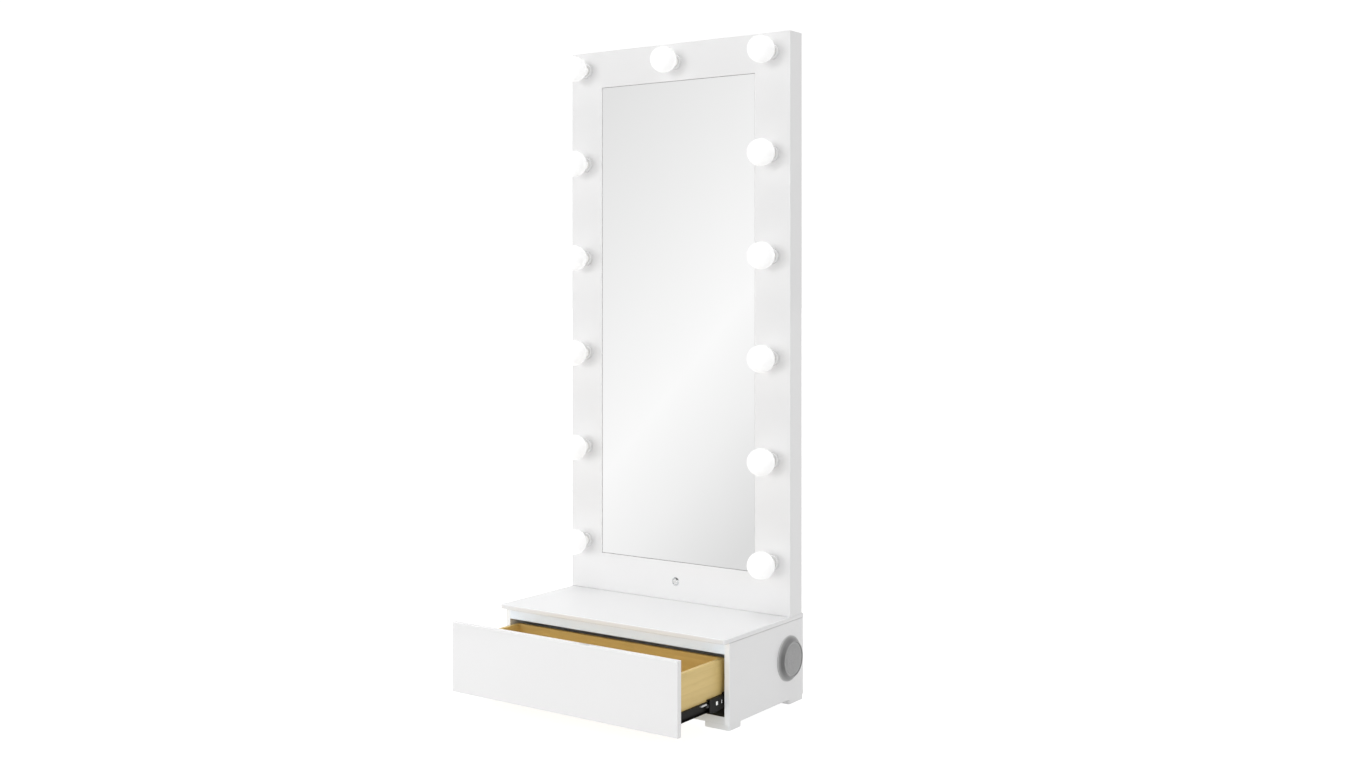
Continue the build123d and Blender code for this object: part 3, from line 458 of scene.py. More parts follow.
class Form:
    """Points and faces gathered for one piece's mesh."""

    def __init__(self):
        self.points = []
        self.faces = []
        self.kinds = []

    def skin(self, rings, kind=0, loop=False):
        """Faces between rings of equally many points; a ring of one point closes an end."""
        starts = []
        for ring in rings:
            starts.append((len(self.points), len(ring)))
            self.points.extend(ring)
        pairs = list(zip(starts, starts[1:]))
        if loop:
            pairs.append((starts[-1], starts[0]))
        for (first, many), (second, more) in pairs:
            count = max(many, more)
            for step in range(count):
                after = (step + 1) % count
                face = [first + step % many, second + step % more,
                        second + after % more, first + after % many]
                self.faces.append(list(dict.fromkeys(face)))
                self.kinds.append(kind)

    def turned(self, profile, centre, axis, kind=0, count=48):
        """A profile of (along, radius) pairs turned round an axis. A radius may
        be a function of the turn."""
        forward = Vector(axis).normalized()
        side = forward.orthogonal().normalized()
        rise = forward.cross(side)
        rings = []
        for along, radius in profile:
            middle = Vector(centre) + forward * along
            if radius == 0:
                rings.append([middle])
                continue
            ring = []
            for step in range(count):
                turn = math.tau * step / count
                reach = radius(turn) if callable(radius) else radius
                ring.append(middle + (side * math.cos(turn) + rise * math.sin(turn)) * reach)
            rings.append(ring)
        self.skin(rings, kind)

    def tube(self, path, radius, sides, loop=False):
        """A round wire along a path, its ends closed."""
        rings = []
        rise = None
        for index, point in enumerate(path):
            before = path[index - 1] if index or loop else point
            after = path[(index + 1) % len(path)] if index < len(path) - 1 or loop else point
            forward = (after - before).normalized()
            rise = forward.orthogonal() if rise is None else rise - forward * rise.dot(forward)
            rise.normalize()
            side = forward.cross(rise)
            turns = [math.tau * step / sides for step in range(sides)]
            rings.append([point + (side * math.cos(t) + rise * math.sin(t)) * radius for t in turns])
        if not loop:
            rings = [[path[0]], *rings, [path[-1]]]
        self.skin(rings, loop=loop)

    def build(self, name, materials, body, record_slot, replaced=()):
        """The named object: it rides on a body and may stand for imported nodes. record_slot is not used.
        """
        mesh = bpy.data.meshes.new(name)
        mesh.from_pydata(self.points, [], self.faces)
        for material in materials:
            mesh.materials.append(material)
        mesh.polygons.foreach_set("material_index", self.kinds)
        shape = bmesh.new()
        shape.from_mesh(mesh)
        bmesh.ops.remove_doubles(shape, verts=shape.verts, dist=WELD_DISTANCE)
        bmesh.ops.recalc_face_normals(shape, faces=shape.faces)
        for face in shape.faces:
            face.smooth = True
        for edge in shape.edges:
            edge.smooth = len(edge.link_faces) == 2 and edge.calc_face_angle(0) < SMOOTH_ANGLE
        shape.to_mesh(mesh)
        shape.free()
        made = bpy.data.objects.new(name, mesh)
        bpy.context.scene.collection.objects.link(made)
        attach(made, body)
        if replaced:
            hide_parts(*replaced)
        return made


# ================================================================ lamps
# Each lamp is a satin globe whose neck sits in a screw cap with a real thread.

GLOBE_STEPS = 36
GLOBE_END = math.radians(142)           # the sphere's end, counted from its front pole
NECK_RADIUS = 14.2 * MM
NECK_LENGTH = 11 * MM
FLARE_LENGTH = 14 * MM                  # how long the sphere takes to run into the neck
FLARE_KNEE = 0.62
FLARE_STEPS = 8
CAP_RADIUS = 13 * MM
CAP_OVERLAP = 3 * MM                    # how far the cap reaches over the neck
CRIMP_PROUD = 0.2 * MM
CRIMP_LENGTH = 2 * MM
SHOULDER = 1 * MM
THREAD_PITCH = 3.6 * MM
THREAD_DEPTH = 0.9 * MM
THREAD_LENGTH = 14.4 * MM
THREAD_STEPS = 8                        # rings in each turn of the thread
THREAD_TO_END = 4 * MM
SHELL_TO_END = 3.4 * MM
SHELL_END_RADIUS = 9.5 * MM
INSULATOR_TO_END = 1.6 * MM
INSULATOR_RADII = (9.3 * MM, 6 * MM)
INSULATOR_EASE = 0.6 * MM
TIP_RADII = (4.4 * MM, 3.4 * MM)
TIP_EASE = 0.8 * MM
SUNK = 0.1 * MM                         # how deep one part of the cap starts inside the last
INSULATOR_KIND = 1                      # its place in the cap's list of materials


def globe_profile(radius):
    """From the front pole of a globe of that radius, over its neck, to a closed end; zero at its centre."""
    points = [(-radius, 0)]
    for step in range(1, GLOBE_STEPS + 1):
        angle = GLOBE_END * step / GLOBE_STEPS
        points.append((-radius * math.cos(angle), radius * math.sin(angle)))
    start = Vector(points[-1])
    along = Vector((math.sin(GLOBE_END), math.cos(GLOBE_END)))
    knee = start + along * FLARE_LENGTH * FLARE_KNEE
    meet = Vector((start.x + FLARE_LENGTH, NECK_RADIUS))
    for step in range(1, FLARE_STEPS + 1):
        points.append(tuple(bend(start, knee, meet, step / FLARE_STEPS)))
    end = meet.x + NECK_LENGTH
    return [*points, (end, NECK_RADIUS), (end, 0)], end


def thread_profile(start):
    """The thread's rings; each one's radius follows the turn, and fades in and out at the ends."""
    def radius_at(forward):
        fade = min(1, forward / THREAD_PITCH, (THREAD_LENGTH - forward) / THREAD_PITCH)

        def radius(turn):
            wave = 0.5 + 0.5 * math.cos(math.tau * forward / THREAD_PITCH - turn)
            return CAP_RADIUS - THREAD_DEPTH * (1 - wave) * fade - THREAD_DEPTH * (1 - fade)

        return radius

    count = int(THREAD_LENGTH / (THREAD_PITCH / THREAD_STEPS))
    places = [step * THREAD_PITCH / THREAD_STEPS for step in range(count + 1)]
    return [(start + forward, radius_at(forward)) for forward in places]


def lamp_cap(centre, start, end):
    """A screw cap along +Y, from start to end beyond a lamp's centre."""
    axis = (0, 1, 0)
    shell_end = end - SHELL_TO_END
    seat = end - INSULATOR_TO_END
    form = Form()
    form.turned([
        (start, 0), (start, NECK_RADIUS + CRIMP_PROUD), (start + CRIMP_LENGTH, CAP_RADIUS + SHOULDER),
        *thread_profile(end - THREAD_LENGTH - THREAD_TO_END),
        (shell_end, SHELL_END_RADIUS), (shell_end, 0),
    ], centre, axis, count=40)
    form.turned(eased([
        (shell_end - SUNK, 0, 0), (shell_end - SUNK, INSULATOR_RADII[0], 0),
        (seat, INSULATOR_RADII[1], INSULATOR_EASE), (seat, 0, 0),
    ]), centre, axis, kind=INSULATOR_KIND, count=32)
    form.turned(eased([
        (seat - SUNK, 0, 0), (seat - SUNK, TIP_RADII[0], 0), (end, TIP_RADII[1], TIP_EASE), (end, 0, 0),
    ]), centre, axis, count=24)
    return form


for name in [name for name in nodes if name.startswith("bulb_")]:
    low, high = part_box(name)
    radius = (high.z - low.z) / 2
    centre = Vector(((low.x + high.x) / 2, low.y + radius, (low.z + high.z) / 2))
    profile, neck_end = globe_profile(radius)
    glass = Form()
    glass.turned(profile, centre, (0, 1, 0), count=64)
    globe = glass.build(name.replace("bulb_", "globe_"), [opal], "cabinet", "opal_glass", [name])
    cap_form = lamp_cap(centre, neck_end - CAP_OVERLAP, high.y - centre.y)
    cap_name = name.replace("bulb_", "lamp_cap_")
    cap = cap_form.build(cap_name, [brass, case_plastic], "cabinet", "zinc_steel")
    # The mirror shows none of the left lamps.
    globe.visible_glossy = cap.visible_glossy = not name.startswith("bulb_left")

# ================================================================ power button
# A bright sloping ring, and a crowned cap that was turned on a lathe.

BORE_PLAY = 0.2 * MM
BORE_TO_END = 6 * MM                    # from the bore's floor to the barrel's end
BORE_EASE = 0.4 * MM
LIP_LENGTH = 0.9 * MM
LIP_FLARE = 0.8 * MM
LIP_EASES = (0.2 * MM, 0.3 * MM)
RIM_THICK = 0.4 * MM
RIM_IN = 0.1 * MM
RIM_EASE = 0.3 * MM
BARREL_RADIUS = 11 * MM
BARREL_EASE = 0.5 * MM
CROWN_HIGH = 0.7 * MM
CROWN_STEPS = 10
CROWN_IN = 1.4 * MM                     # from the cap's side to the crown's edge
CAP_BEVEL = 1.2 * MM
CAP_LENGTH = 6 * MM
CAP_EASES = (0.5 * MM, 0.3 * MM)
STEM_RADIUS = 3 * MM
STEM_EASES = (0.3 * MM, 0.4 * MM)

ring_low, ring_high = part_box("power_button_ring")
cap_low, cap_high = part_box("power_button_cap")
board_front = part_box("tower_front_board")[0].y
button_centre = Vector((0, 0, (ring_low.z + ring_high.z) / 2))
rim_radius = (ring_high.z - ring_low.z) / 2 - RIM_IN
cap_radius = (cap_high.z - cap_low.z) / 2
bore_radius = cap_radius + BORE_PLAY

ring = Form()
ring.turned(eased([
    (ring_high.y - BORE_TO_END, 0, 0),
    (ring_high.y - BORE_TO_END, bore_radius, BORE_EASE),
    (ring_low.y + LIP_LENGTH, bore_radius, LIP_EASES[0]),
    (ring_low.y, bore_radius + LIP_FLARE, LIP_EASES[1]),
    (board_front - RIM_THICK, rim_radius, RIM_EASE),
    (board_front, rim_radius, 0),
    (board_front, BARREL_RADIUS, 0),
    (ring_high.y, BARREL_RADIUS, BARREL_EASE),
    (ring_high.y, 0, 0),
]), button_centre, (0, 1, 0), count=96)
ring.build("button_ring", [chrome], "cabinet", "chrome", ["power_button_ring"])

crown_radius = cap_radius - CROWN_IN
crown_parts = [step / CROWN_STEPS for step in range(CROWN_STEPS + 1)]
button_cap = Form()
button_cap.turned([
    *[(cap_low.y + CROWN_HIGH * part**2, crown_radius * part) for part in crown_parts],
    *eased([
        (cap_low.y + CROWN_HIGH, crown_radius, 0),
        (cap_low.y + CROWN_HIGH + CAP_BEVEL, cap_radius, CAP_EASES[0]),
        (cap_low.y + CAP_LENGTH, cap_radius, CAP_EASES[1]),
        (cap_low.y + CAP_LENGTH, STEM_RADIUS, STEM_EASES[0]),
        (cap_high.y, STEM_RADIUS, STEM_EASES[1]),
        (cap_high.y, 0, 0),
    ]),
], button_centre, (0, 1, 0), count=96)
button_cap.build("button_cap", [spun_steel], "power_button", "button_steel", ["power_button_cap"])

# ================================================================ loudspeaker grilles
# Plain-woven wire over a shallow dome, its rim folded over a ring.

WIRE_PITCH = 1.6 * MM
WIRE_RADIUS = 0.40 * MM
WEAVE = 0.36 * MM
GRILLE_DOME = 1.2 * MM
RIM_RADIUS = 0.9 * MM
RIM_STEPS = 120
FLANGE_WIDTH = 3 * MM
FLANGE_PLAY = 0.1 * MM
FLANGE_THICK = (0.6 * MM, 0.8 * MM)     # at its outer and its inner edge
FLANGE_NECK = 1.6 * MM


def woven_grille(name, side):
    """One grille: two sets of wires that pass over and under each other, and their rim."""
    low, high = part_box(name)
    middle = (low + high) / 2
    radius = (high.z - low.z) / 2
    outer = max(abs(low.x), abs(high.x))
    inner = min(abs(low.x), abs(high.x))
    top = outer - WIRE_RADIUS - WEAVE
    reach = radius - RIM_RADIUS
    half_count = int(reach / WIRE_PITCH)
    form = Form()

    def at(across, up, lift):
        spread_out = min(1.0, math.hypot(across, up) / radius)
        depth = top - GRILLE_DOME * spread_out**2 + lift
        return Vector((side * depth, middle.y + across, middle.z + up))

    for row in range(-half_count, half_count + 1):
        offset = (row + 0.5) * WIRE_PITCH
        if abs(offset) >= reach:
            continue
        half = math.sqrt(reach**2 - offset**2)
        crossings = int(half / WIRE_PITCH)
        stops = [(n + 0.5) * WIRE_PITCH for n in range(-crossings - 1, crossings + 1)]
        stops = [-half, *[stop for stop in stops if abs(stop) < half], half]
        for flip in (1, -1):
            path = []
            for stop in stops:
                order = round(stop / WIRE_PITCH - 0.5) + row
                lift = WEAVE * (1 if order % 2 else -1) * flip
                path.append(at(offset, stop, lift) if flip == 1 else at(stop, offset, lift))
            form.tube(path, WIRE_RADIUS, sides=4)
    turns = [math.tau * step / RIM_STEPS for step in range(RIM_STEPS)]
    rim = [at(reach * math.cos(t), reach * math.sin(t), 0) for t in turns]
    form.tube(rim, RIM_RADIUS, sides=10, loop=True)
    flange = [
        (inner, radius - FLANGE_WIDTH),
        (inner, radius - FLANGE_PLAY),
        (inner + FLANGE_THICK[0], radius - FLANGE_PLAY),
        (top - GRILLE_DOME, radius - RIM_RADIUS),
        (top - GRILLE_DOME - RIM_RADIUS, radius - FLANGE_NECK),
        (inner + FLANGE_THICK[1], radius - FLANGE_WIDTH),
        (inner, radius - FLANGE_WIDTH),
    ]
    form.turned(flange, (0, middle.y, middle.z), (side, 0, 0), count=96)
    title = name.replace("speaker_grille", "woven_grille")
    form.build(title, [mesh_paint], "cabinet", "speaker_mesh", [name])


for side_name, side in SIDES.items():
    woven_grille(f"speaker_grille_{side_name}", side)

# ================================================================ boards
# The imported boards, sheets, glass and slide members are eased along their edges where they stand.

EASE_FROM_ANGLE = math.radians(40)
EASE_WELD = 1e-5
EASES = [                               # width, segments, nodes
    (0.6 * MM, 2, ("side_panel_left", "side_panel_right", "bottom_panel", "front_rail",
                   "tower_side_left", "tower_side_right", "tower_top", "tower_front_board")),
    (0.9 * MM, 3, ("drawer_side_left", "drawer_side_right", "drawer_back", "drawer_inner_front")),
    (0.3 * MM, 2, ("back_panel", "rear_divider", "tower_back_panel", "drawer_bottom",
                   "mirror_backing", "mirror_glass")),
    (0.35 * MM, 2, ("slide_outer_left", "slide_outer_right", "slide_middle_left",
                    "slide_middle_right", "slide_inner_left", "slide_inner_right")),
]
for width, segments, names in EASES:
    for name in names:
        weld = nodes[name].modifiers.new("weld", "WELD")
        weld.merge_threshold = EASE_WELD
        bevel = nodes[name].modifiers.new("bevel", "BEVEL")
        bevel.width = width
        bevel.segments = segments
        bevel.limit_method = "ANGLE"
        bevel.angle_limit = EASE_FROM_ANGLE

# ================================================================ screws and pins

SCREW_RADIUS = 3.6 * MM
SCREW_HIGH = 1.5 * MM
HEAD_FLAT = 0.72                        # radius of a head's flat top, as a part of its rim's
HEAD_STEPS = 6
CROSS_HALF_WIDE = 0.16                  # of the recess, as a part of the head's radius
CROSS_LONG = 0.52
CROSS_TAPER = 0.72                      # the recess's floor against its mouth
CROSS_FLOOR = 0.35                      # how high its floor lies, as a part of the head's height
PIN_RADIUS = 2.2 * MM
PIN_HIGH = 0.8 * MM
PIN_PROFILE = ((0, 0), (0, 1), (0.4, 1), (0.8, 0.75), (1, 0))


def screw(form, centre, axis, radius=SCREW_RADIUS, high=SCREW_HIGH):
    """A pan screw head with a cross recess, standing on centre and looking along axis."""
    def cross(turn):
        folded = abs((turn + math.pi / 4) % (math.pi / 2) - math.pi / 4)
        half_wide = radius * CROSS_HALF_WIDE / max(math.sin(folded), 1e-6)
        return min(radius * CROSS_LONG / math.cos(folded), half_wide)

    def deep(turn):
        return cross(turn) * CROSS_TAPER

    dome = []
    for step in range(HEAD_STEPS + 1):
        part = math.pi / 2 * step / HEAD_STEPS
        dome.append((math.sin(part) * high, radius * (HEAD_FLAT + (1 - HEAD_FLAT) * math.cos(part))))
    recess = [(high, cross), (high * CROSS_FLOOR, deep), (high * CROSS_FLOOR, 0)]
    form.turned([(0, 0), (0, radius), *dome, *recess], centre, axis, count=40)


def pin(form, centre, axis):
    """A round nail head with a soft crown."""
    profile = [(along * PIN_HIGH, out * PIN_RADIUS) for along, out in PIN_PROFILE]
    form.turned(profile, centre, axis, count=20)


def row_between(first, last, spacing):
    """Even places from first to last, about that far apart."""
    count = max(1, round((last - first) / spacing))
    return [first + (last - first) * step / count for step in range(count + 1)]


# ================================================================ drawer slides
# Screws through the members, and the lever that lets the drawer off its slide.

SLIDE_WEB = 1.2 * MM
SLIDE_SCREW_HIGH = 1.3 * MM
FLUSH_SCREW_HIGH = 0.25 * MM            # flat heads, which the ball cages pass over
INNER_SCREWS = (13 * MM, 40 * MM)       # in from the inner member's front and back ends
OUTER_SCREWS = (150 * MM, 30 * MM)      # in from the outer member's front and back ends
LEVER_IN = 129.5 * MM                   # from the inner member's front end to the lever's middle
LEVER_LENGTH = 26 * MM
LEVER_HIGH = 4.6 * MM
LEVER_RISE = 6.2 * MM                   # above the slide's centre line
LEVER_REACH = 8.1 * MM                  # out from the drawer's side, level with the member's arms
LEVER_EASE = 1.1 * MM
ARM_LENGTH = 44 * MM
ARM_OVERLAP = 1 * MM
ARM_DROP = 2 * MM                       # below the slide's centre line
ARM_EASE = 1.2 * MM


def rounded_bar(form, low, high, ease):
    """A closed bar along Y with eased edges and ends."""
    x0, z0 = low.x + ease, low.z + ease
    x1, z1 = high.x - ease, high.z - ease
    middle_x, middle_z = (x0 + x1) / 2, (z0 + z1) / 2
    almost = 1.0 - 1e-3
    part_way = 0.3

    def ring(y, shrink):
        points = []
        for centre_x, centre_z, start in ((x1, z1, 0), (x0, z1, 90), (x0, z0, 180), (x1, z0, 270)):
            for step in range(4):
                turn = math.radians(start + step * 30)
                reach = ease * (1 - shrink)
                x, z = centre_x + reach * math.cos(turn), centre_z + reach * math.sin(turn)
                points.append(Vector((x, y, z)))
        return points

    form.skin([
        [Vector((middle_x, low.y, middle_z))],
        ring(low.y, almost), ring(low.y + ease * part_way, part_way), ring(low.y + ease, 0),
        ring(high.y - ease, 0), ring(high.y - ease * part_way, part_way), ring(high.y, almost),
        [Vector((middle_x, high.y, middle_z))],
    ])


def slide_fittings(side_name, side):
    """What is fastened to the slides on one side."""
    inner_low, inner_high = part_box(f"slide_inner_{side_name}")
    outer_low, outer_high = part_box(f"slide_outer_{side_name}")
    centre_z = (inner_low.z + inner_high.z) / 2
    box_x = min(abs(inner_low.x), abs(inner_high.x))
    web_x = side * (box_x + SLIDE_WEB)
    fixed = Form()
    for y in (inner_low.y + INNER_SCREWS[0], inner_high.y - INNER_SCREWS[1]):
        screw(fixed, Vector((web_x, y, centre_z)), (side, 0, 0), high=SLIDE_SCREW_HIGH)
    fixed.build(f"drawer_slide_screws_{side_name}", [zinc], "drawer", "zinc_steel")

    reach_x = side * (box_x + LEVER_REACH)
    near, far = min(web_x, reach_x), max(web_x, reach_x)
    middle_y = inner_low.y + LEVER_IN
    back_y = middle_y + LEVER_LENGTH / 2
    lever_z = centre_z + LEVER_RISE
    lever = Form()
    rounded_bar(lever, Vector((near, middle_y - LEVER_LENGTH / 2, lever_z)),
                Vector((far, back_y, lever_z + LEVER_HIGH)), LEVER_EASE)
    lever.build(f"slide_lever_{side_name}", [pale_plastic], "drawer", "cable_jacket")
    arm = Form()
    rounded_bar(arm, Vector((near, back_y - ARM_OVERLAP, centre_z - ARM_DROP)),
                Vector((far, back_y + ARM_LENGTH, lever_z)), ARM_EASE)
    arm.build(f"slide_lever_arm_{side_name}", [case_plastic], "drawer", "case_plastic")

    cabinet_web_x = side * (max(abs(outer_low.x), abs(outer_high.x)) - SLIDE_WEB)
    held = Form()
    for y in (outer_low.y + OUTER_SCREWS[0], outer_high.y - OUTER_SCREWS[1]):
        screw(held, Vector((cabinet_web_x, y, centre_z)), (-side, 0, 0), high=FLUSH_SCREW_HIGH)
    held.build(f"cabinet_slide_screws_{side_name}", [zinc], "cabinet", "zinc_steel")


for side_name, side in SIDES.items():
    slide_fittings(side_name, side)

# ================================================================ other fixings

# Two rows of screws hold the lacquered front to the drawer box.
FRONT_SCREWS_X = (-0.28, -0.09, 0.09, 0.28)
FRONT_SCREWS_Z = (42 * MM, 26 * MM)     # up from the board's lower edge, down from its upper one
front_low, front_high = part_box("drawer_inner_front")
front_screws = Form()
for x in FRONT_SCREWS_X:
    for z in (front_low.z + FRONT_SCREWS_Z[0], front_high.z - FRONT_SCREWS_Z[1]):
        screw(front_screws, Vector((x, front_high.y, z)), (0, 1, 0))
front_screws.build("drawer_front_screws", [zinc], "drawer", "zinc_steel")

# The hardboard backs are pinned round their edges.
PIN_IN = 8 * MM
PIN_SPACING = 115 * MM
for name, title in (("tower_back_panel", "tower_back_pins"), ("back_panel", "cabinet_back_pins")):
    low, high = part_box(name)
    pins = Form()
    for x in row_between(low.x + PIN_IN, high.x - PIN_IN, PIN_SPACING):
        for z in (low.z + PIN_IN, high.z - PIN_IN):
            pin(pins, Vector((x, high.y, z)), (0, 1, 0))
    for z in row_between(low.z + PIN_IN, high.z - PIN_IN, PIN_SPACING)[1:-1]:
        for x in (low.x + PIN_IN, high.x - PIN_IN):
            pin(pins, Vector((x, high.y, z)), (0, 1, 0))
    pins.build(title, [zinc], "cabinet", "zinc_steel")

# Each strap bracket has two screws through its upright leg.
BRACKET_HALF = 15 * MM
BRACKET_THICK = 2 * MM
BRACKET_SCREWS = (10 * MM, 26 * MM)     # up from the bracket's foot
bracket_low, bracket_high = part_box("strap_brackets")
bracket_screws = Form()
for side in SIDES.values():
    for rise in BRACKET_SCREWS:
        x, z = side * (bracket_high.x - BRACKET_HALF), bracket_low.z + rise
        screw(bracket_screws, Vector((x, bracket_low.y + BRACKET_THICK, z)), (0, 1, 0))
bracket_screws.build("strap_bracket_screws", [zinc], "cabinet", "zinc_steel")

# ================================================================ lamps of the studio

KEY_ANGLE = math.radians(28)
TOP_ANGLE = math.radians(50)


def link_object(name, data, place=(0, 0, 0), turn=(0, 0, 0)):
    """A lamp, camera or stage piece put into the scene."""
    made = bpy.data.objects.new(name, data)
    made.location = place
    made.rotation_euler = turn
    bpy.context.scene.collection.objects.link(made)
    return made


def turn_towards(direction):
    """The turn that points a lamp along a direction."""
    return Vector(direction).to_track_quat("-Z", "Y").to_euler()


def sun(name, direction, strength, angle, colour=(1.0, 1.0, 1.0)):
    """A soft distant lamp shining along a direction; strength 1 lights white paint facing it to 1."""
    data = bpy.data.lights.new(name, "SUN")
    data.energy = strength * math.pi
    data.angle = angle
    data.color = colour
    return link_object(name, data, turn=turn_towards(direction))


sun("key", (0.06, 1.0, 0.03), 0.385, KEY_ANGLE)
sun("top", (0.05, 0.05, -1.0), 0.49, TOP_ANGLE)

# A broad low lamp on the left brightens the parts nearest to it.
SIDE_LAMP_PLACE = Vector((-1.15, -1.7, 0.75))
SIDE_LAMP_AIM = Vector((-0.1, 0.2, 0.75))
SIDE_LAMP_SIZE = 1.3
SIDE_LAMP_POWER = 4.2
side_data = bpy.data.lights.new("side_lamp", "AREA")
side_data.shape = "DISK"
side_data.size = SIDE_LAMP_SIZE
side_data.energy = SIDE_LAMP_POWER
side_turn = turn_towards(SIDE_LAMP_AIM - SIDE_LAMP_PLACE)
side_lamp = link_object("side_lamp", side_data, SIDE_LAMP_PLACE, side_turn)
side_lamp.visible_glossy = False

# Weak fills, each for single parts: the ones that lie in the slab's shade, and the slab itself. They
# are cool, because the wood of the open drawer throws a warm light there. Only the slab shades them.
FILL_DIRECTION = (0.0, 1.0, -0.2)
FILLS = [
    ("rail_fill", 0.34, (0.36, 0.68, 1.0), ("front_rail",)),
    ("base_fill", 0.27, (0.80, 0.90, 1.0), ("side_panel_left", "side_panel_right")),
    ("foot_fill", 0.10, (0.50, 0.80, 1.0), ("feet_front", "bottom_panel")),
    ("slab_fill", 0.05, (0.10, 0.45, 1.0), ("top_slab",)),
]
shading_parts = bpy.data.collections.new("fill_shade")
shading_parts.objects.link(nodes["top_slab"])
for name, strength, colour, lit_names in FILLS:
    lit_parts = bpy.data.collections.new(f"{name}_parts")
    for lit_name in lit_names:
        lit_parts.objects.link(nodes[lit_name])
    fill = sun(name, FILL_DIRECTION, strength, KEY_ANGLE, colour)
    fill.light_linking.receiver_collection = lit_parts
    fill.light_linking.blocker_collection = shading_parts

# ================================================================ world
# The walls of the studio, by the height and the side that a ray looks to, from -1 to 1. The camera
# sees an even white, and reflections see walls that are bright up to a horizon.

WALLS_BY_HEIGHT = (0.45, 0.75, 0.92, 0.26)          # from, to, and the brightness at each
WALLS_BY_SIDE = (0.0, 1.0, 0.66, 1.26)
REFLECTED_BY_HEIGHT = (0.42, 0.62, 0.98, 0.04)
SEEN_WHITE = 1.05
WALL_COLOUR = (0.997, 0.997, 1, 1)

world = bpy.data.worlds.new("studio")
bpy.context.scene.world = world
world.use_nodes = True
sky = world.node_tree
sky.nodes.clear()
ray = add(sky, "ShaderNodeLightPath")
around = axes_of(sky, add(sky, "ShaderNodeTexCoord").outputs["Generated"])
by_height = remap(sky, around["Z"], *WALLS_BY_HEIGHT)
by_side = remap(sky, maths(sky, "ABSOLUTE", around["X"]), *WALLS_BY_SIDE)
walls = maths(sky, "MULTIPLY", by_height, by_side)
reflected = remap(sky, around["Z"], *REFLECTED_BY_HEIGHT)
walls = add(sky, "ShaderNodeMix", {0: ray.outputs["Is Glossy Ray"], 2: walls, 3: reflected}).outputs[0]
seen = add(sky, "ShaderNodeBackground", {"Color": grey(1), "Strength": SEEN_WHITE})
lit = add(sky, "ShaderNodeBackground", {"Color": WALL_COLOUR, "Strength": walls})
pick = add(sky, "ShaderNodeMixShader",
           {0: ray.outputs["Is Camera Ray"], 1: lit.outputs[0], 2: seen.outputs[0]})
add(sky, "ShaderNodeOutputWorld", {"Surface": pick.outputs[0]})

# ================================================================ floor and reflected card


def stage_disc(name, radius, place, turn, material):
    """A round stage plane."""
    mesh = bpy.data.meshes.new(name)
    shape = bmesh.new()
    bmesh.ops.create_circle(shape, cap_ends=True, segments=64, radius=radius)
    shape.to_mesh(mesh)
    shape.free()
    mesh.materials.append(material)
    made = link_object(name, mesh, place, turn)
    return made


# The floor glows, so that it stays pale out to the horizon, but throws less light on the object.
FLOOR_REACH = 80.0
FLOOR_GLOW = (0.90, 0.29)               # as seen, and as it lights other surfaces
FLOOR_GREYS = (grey(0.31), grey(0.32))


def make_floor_paint():
    """Plain pale floor paint."""
    material, tree, shader = principled(
        "floor_paint", Roughness=0.8, Specular_IOR_Level=0.1, Emission_Color=grey(1),
    )
    bounced = add(tree, "ShaderNodeLightPath").outputs["Is Diffuse Ray"]
    tree.links.new(remap(tree, bounced, 0.0, 1.0, *FLOOR_GLOW), shader.inputs["Emission Strength"])
    shade = noise(tree, place_of(tree), 1.5)
    tree.links.new(blend_colours(tree, shade, *FLOOR_GREYS), shader.inputs["Base Color"])
    return material


stage_disc("floor", FLOOR_REACH, (0, 0, cad_low.z), (0, 0, 0), make_floor_paint())

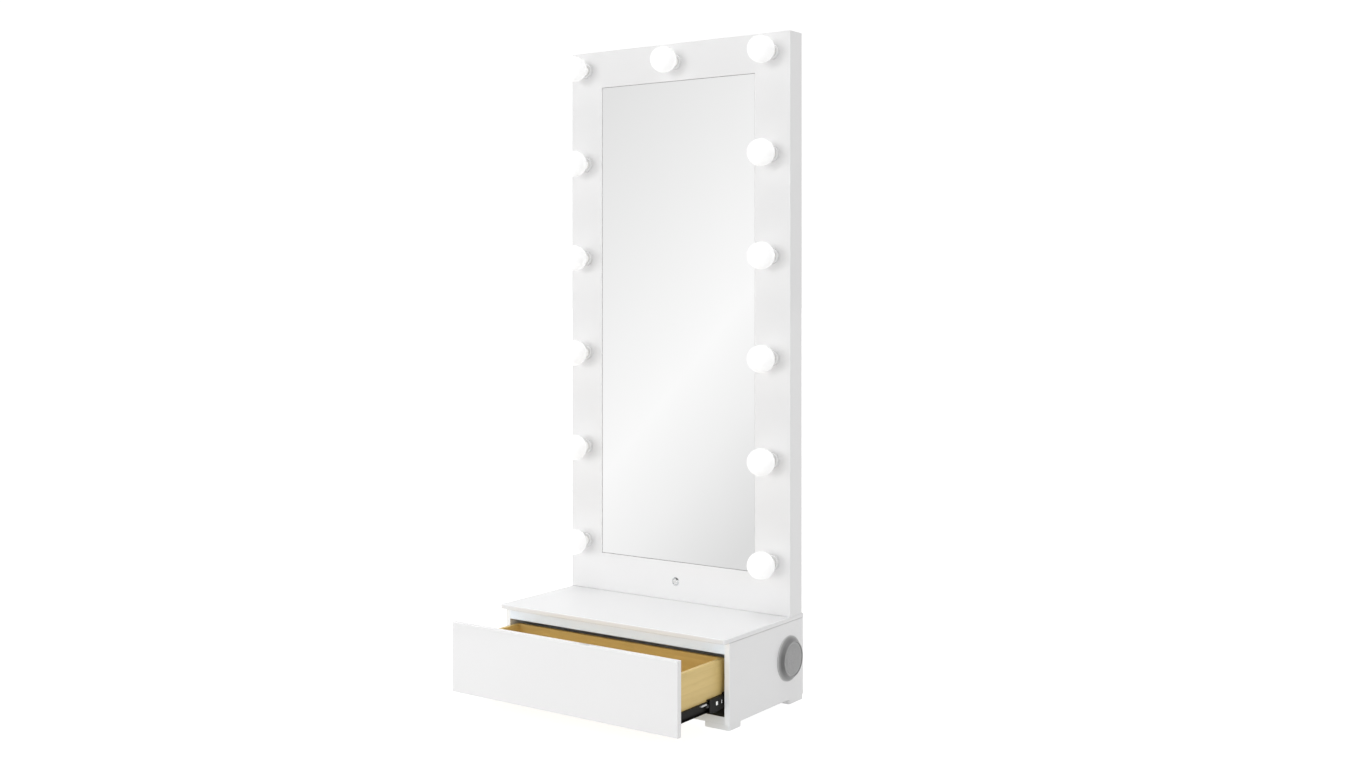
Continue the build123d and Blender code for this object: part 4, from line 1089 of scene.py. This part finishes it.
# The wall that the mirror looks at: a card that only reflections see, brightest along a slanted band.
CARD_PLACE = (-0.86, -0.99, 1.05)
CARD_TURN = (math.radians(90), 0, math.radians(-35))
CARD_RADIUS = 1.25
CARD_FADE = (1.08, 1.24)                # how far from its centre the card fades out
BAND_SLOPE = 1.25
BAND_SPAN = (-1.25, 1.25)
BAND_TONES = [(0.0, 0.74), (0.22, 0.90), (0.40, 0.99), (0.70, 0.89), (1.0, 0.79)]


def make_card_paint():
    """A glow in soft slanted bands, fading out to nothing at the card's edge."""
    material = bpy.data.materials.new("card_paint")
    material.use_nodes = True
    tree = material.node_tree
    tree.nodes.clear()
    where = place_of(tree)
    axes = axes_of(tree, where)
    slant = maths(tree, "SUBTRACT", axes["Y"], maths(tree, "MULTIPLY", axes["X"], BAND_SLOPE))
    band = add(tree, "ShaderNodeValToRGB", {"Fac": remap(tree, slant, *BAND_SPAN, 0.0, 1.0)})
    for index, (place, level) in enumerate(BAND_TONES):
        stops = band.color_ramp.elements
        stop = stops[index] if index < 2 else stops.new(place)      # a new ramp has two stops
        stop.position = place
        stop.color = grey(level)
    glow = add(tree, "ShaderNodeEmission", {"Color": band.outputs["Color"], "Strength": 1.0})
    clear = add(tree, "ShaderNodeBsdfTransparent")
    reach = vector_maths(tree, "LENGTH", where, output="Value")
    solid = remap(tree, reach, *CARD_FADE, 1.0, 0.0)
    fade = add(tree, "ShaderNodeMixShader", {0: solid, 1: clear.outputs[0], 2: glow.outputs[0]})
    add(tree, "ShaderNodeOutputMaterial", {"Surface": fade.outputs[0]})
    return material


card = stage_disc("reflected_wall", CARD_RADIUS, CARD_PLACE, CARD_TURN, make_card_paint())
card.visible_camera = False
card.visible_diffuse = False
card.visible_shadow = False
card.visible_transmission = False

# ================================================================ camera

CAMERA_PLACE = (2.582, -3.451, 1.195)
CAMERA_TURN = (math.radians(90), 0, math.radians(35.07))
CAMERA_LENS = 39.92
CAMERA_SHIFT = -0.0683
CAMERA_REACH = 300.0
camera_data = bpy.data.cameras.new("camera")
camera_data.lens = CAMERA_LENS
camera_data.shift_y = CAMERA_SHIFT
camera_data.clip_end = CAMERA_REACH
bpy.context.scene.camera = link_object("camera", camera_data, CAMERA_PLACE, CAMERA_TURN)
bpy.context.scene.view_settings.view_transform = "Standard"
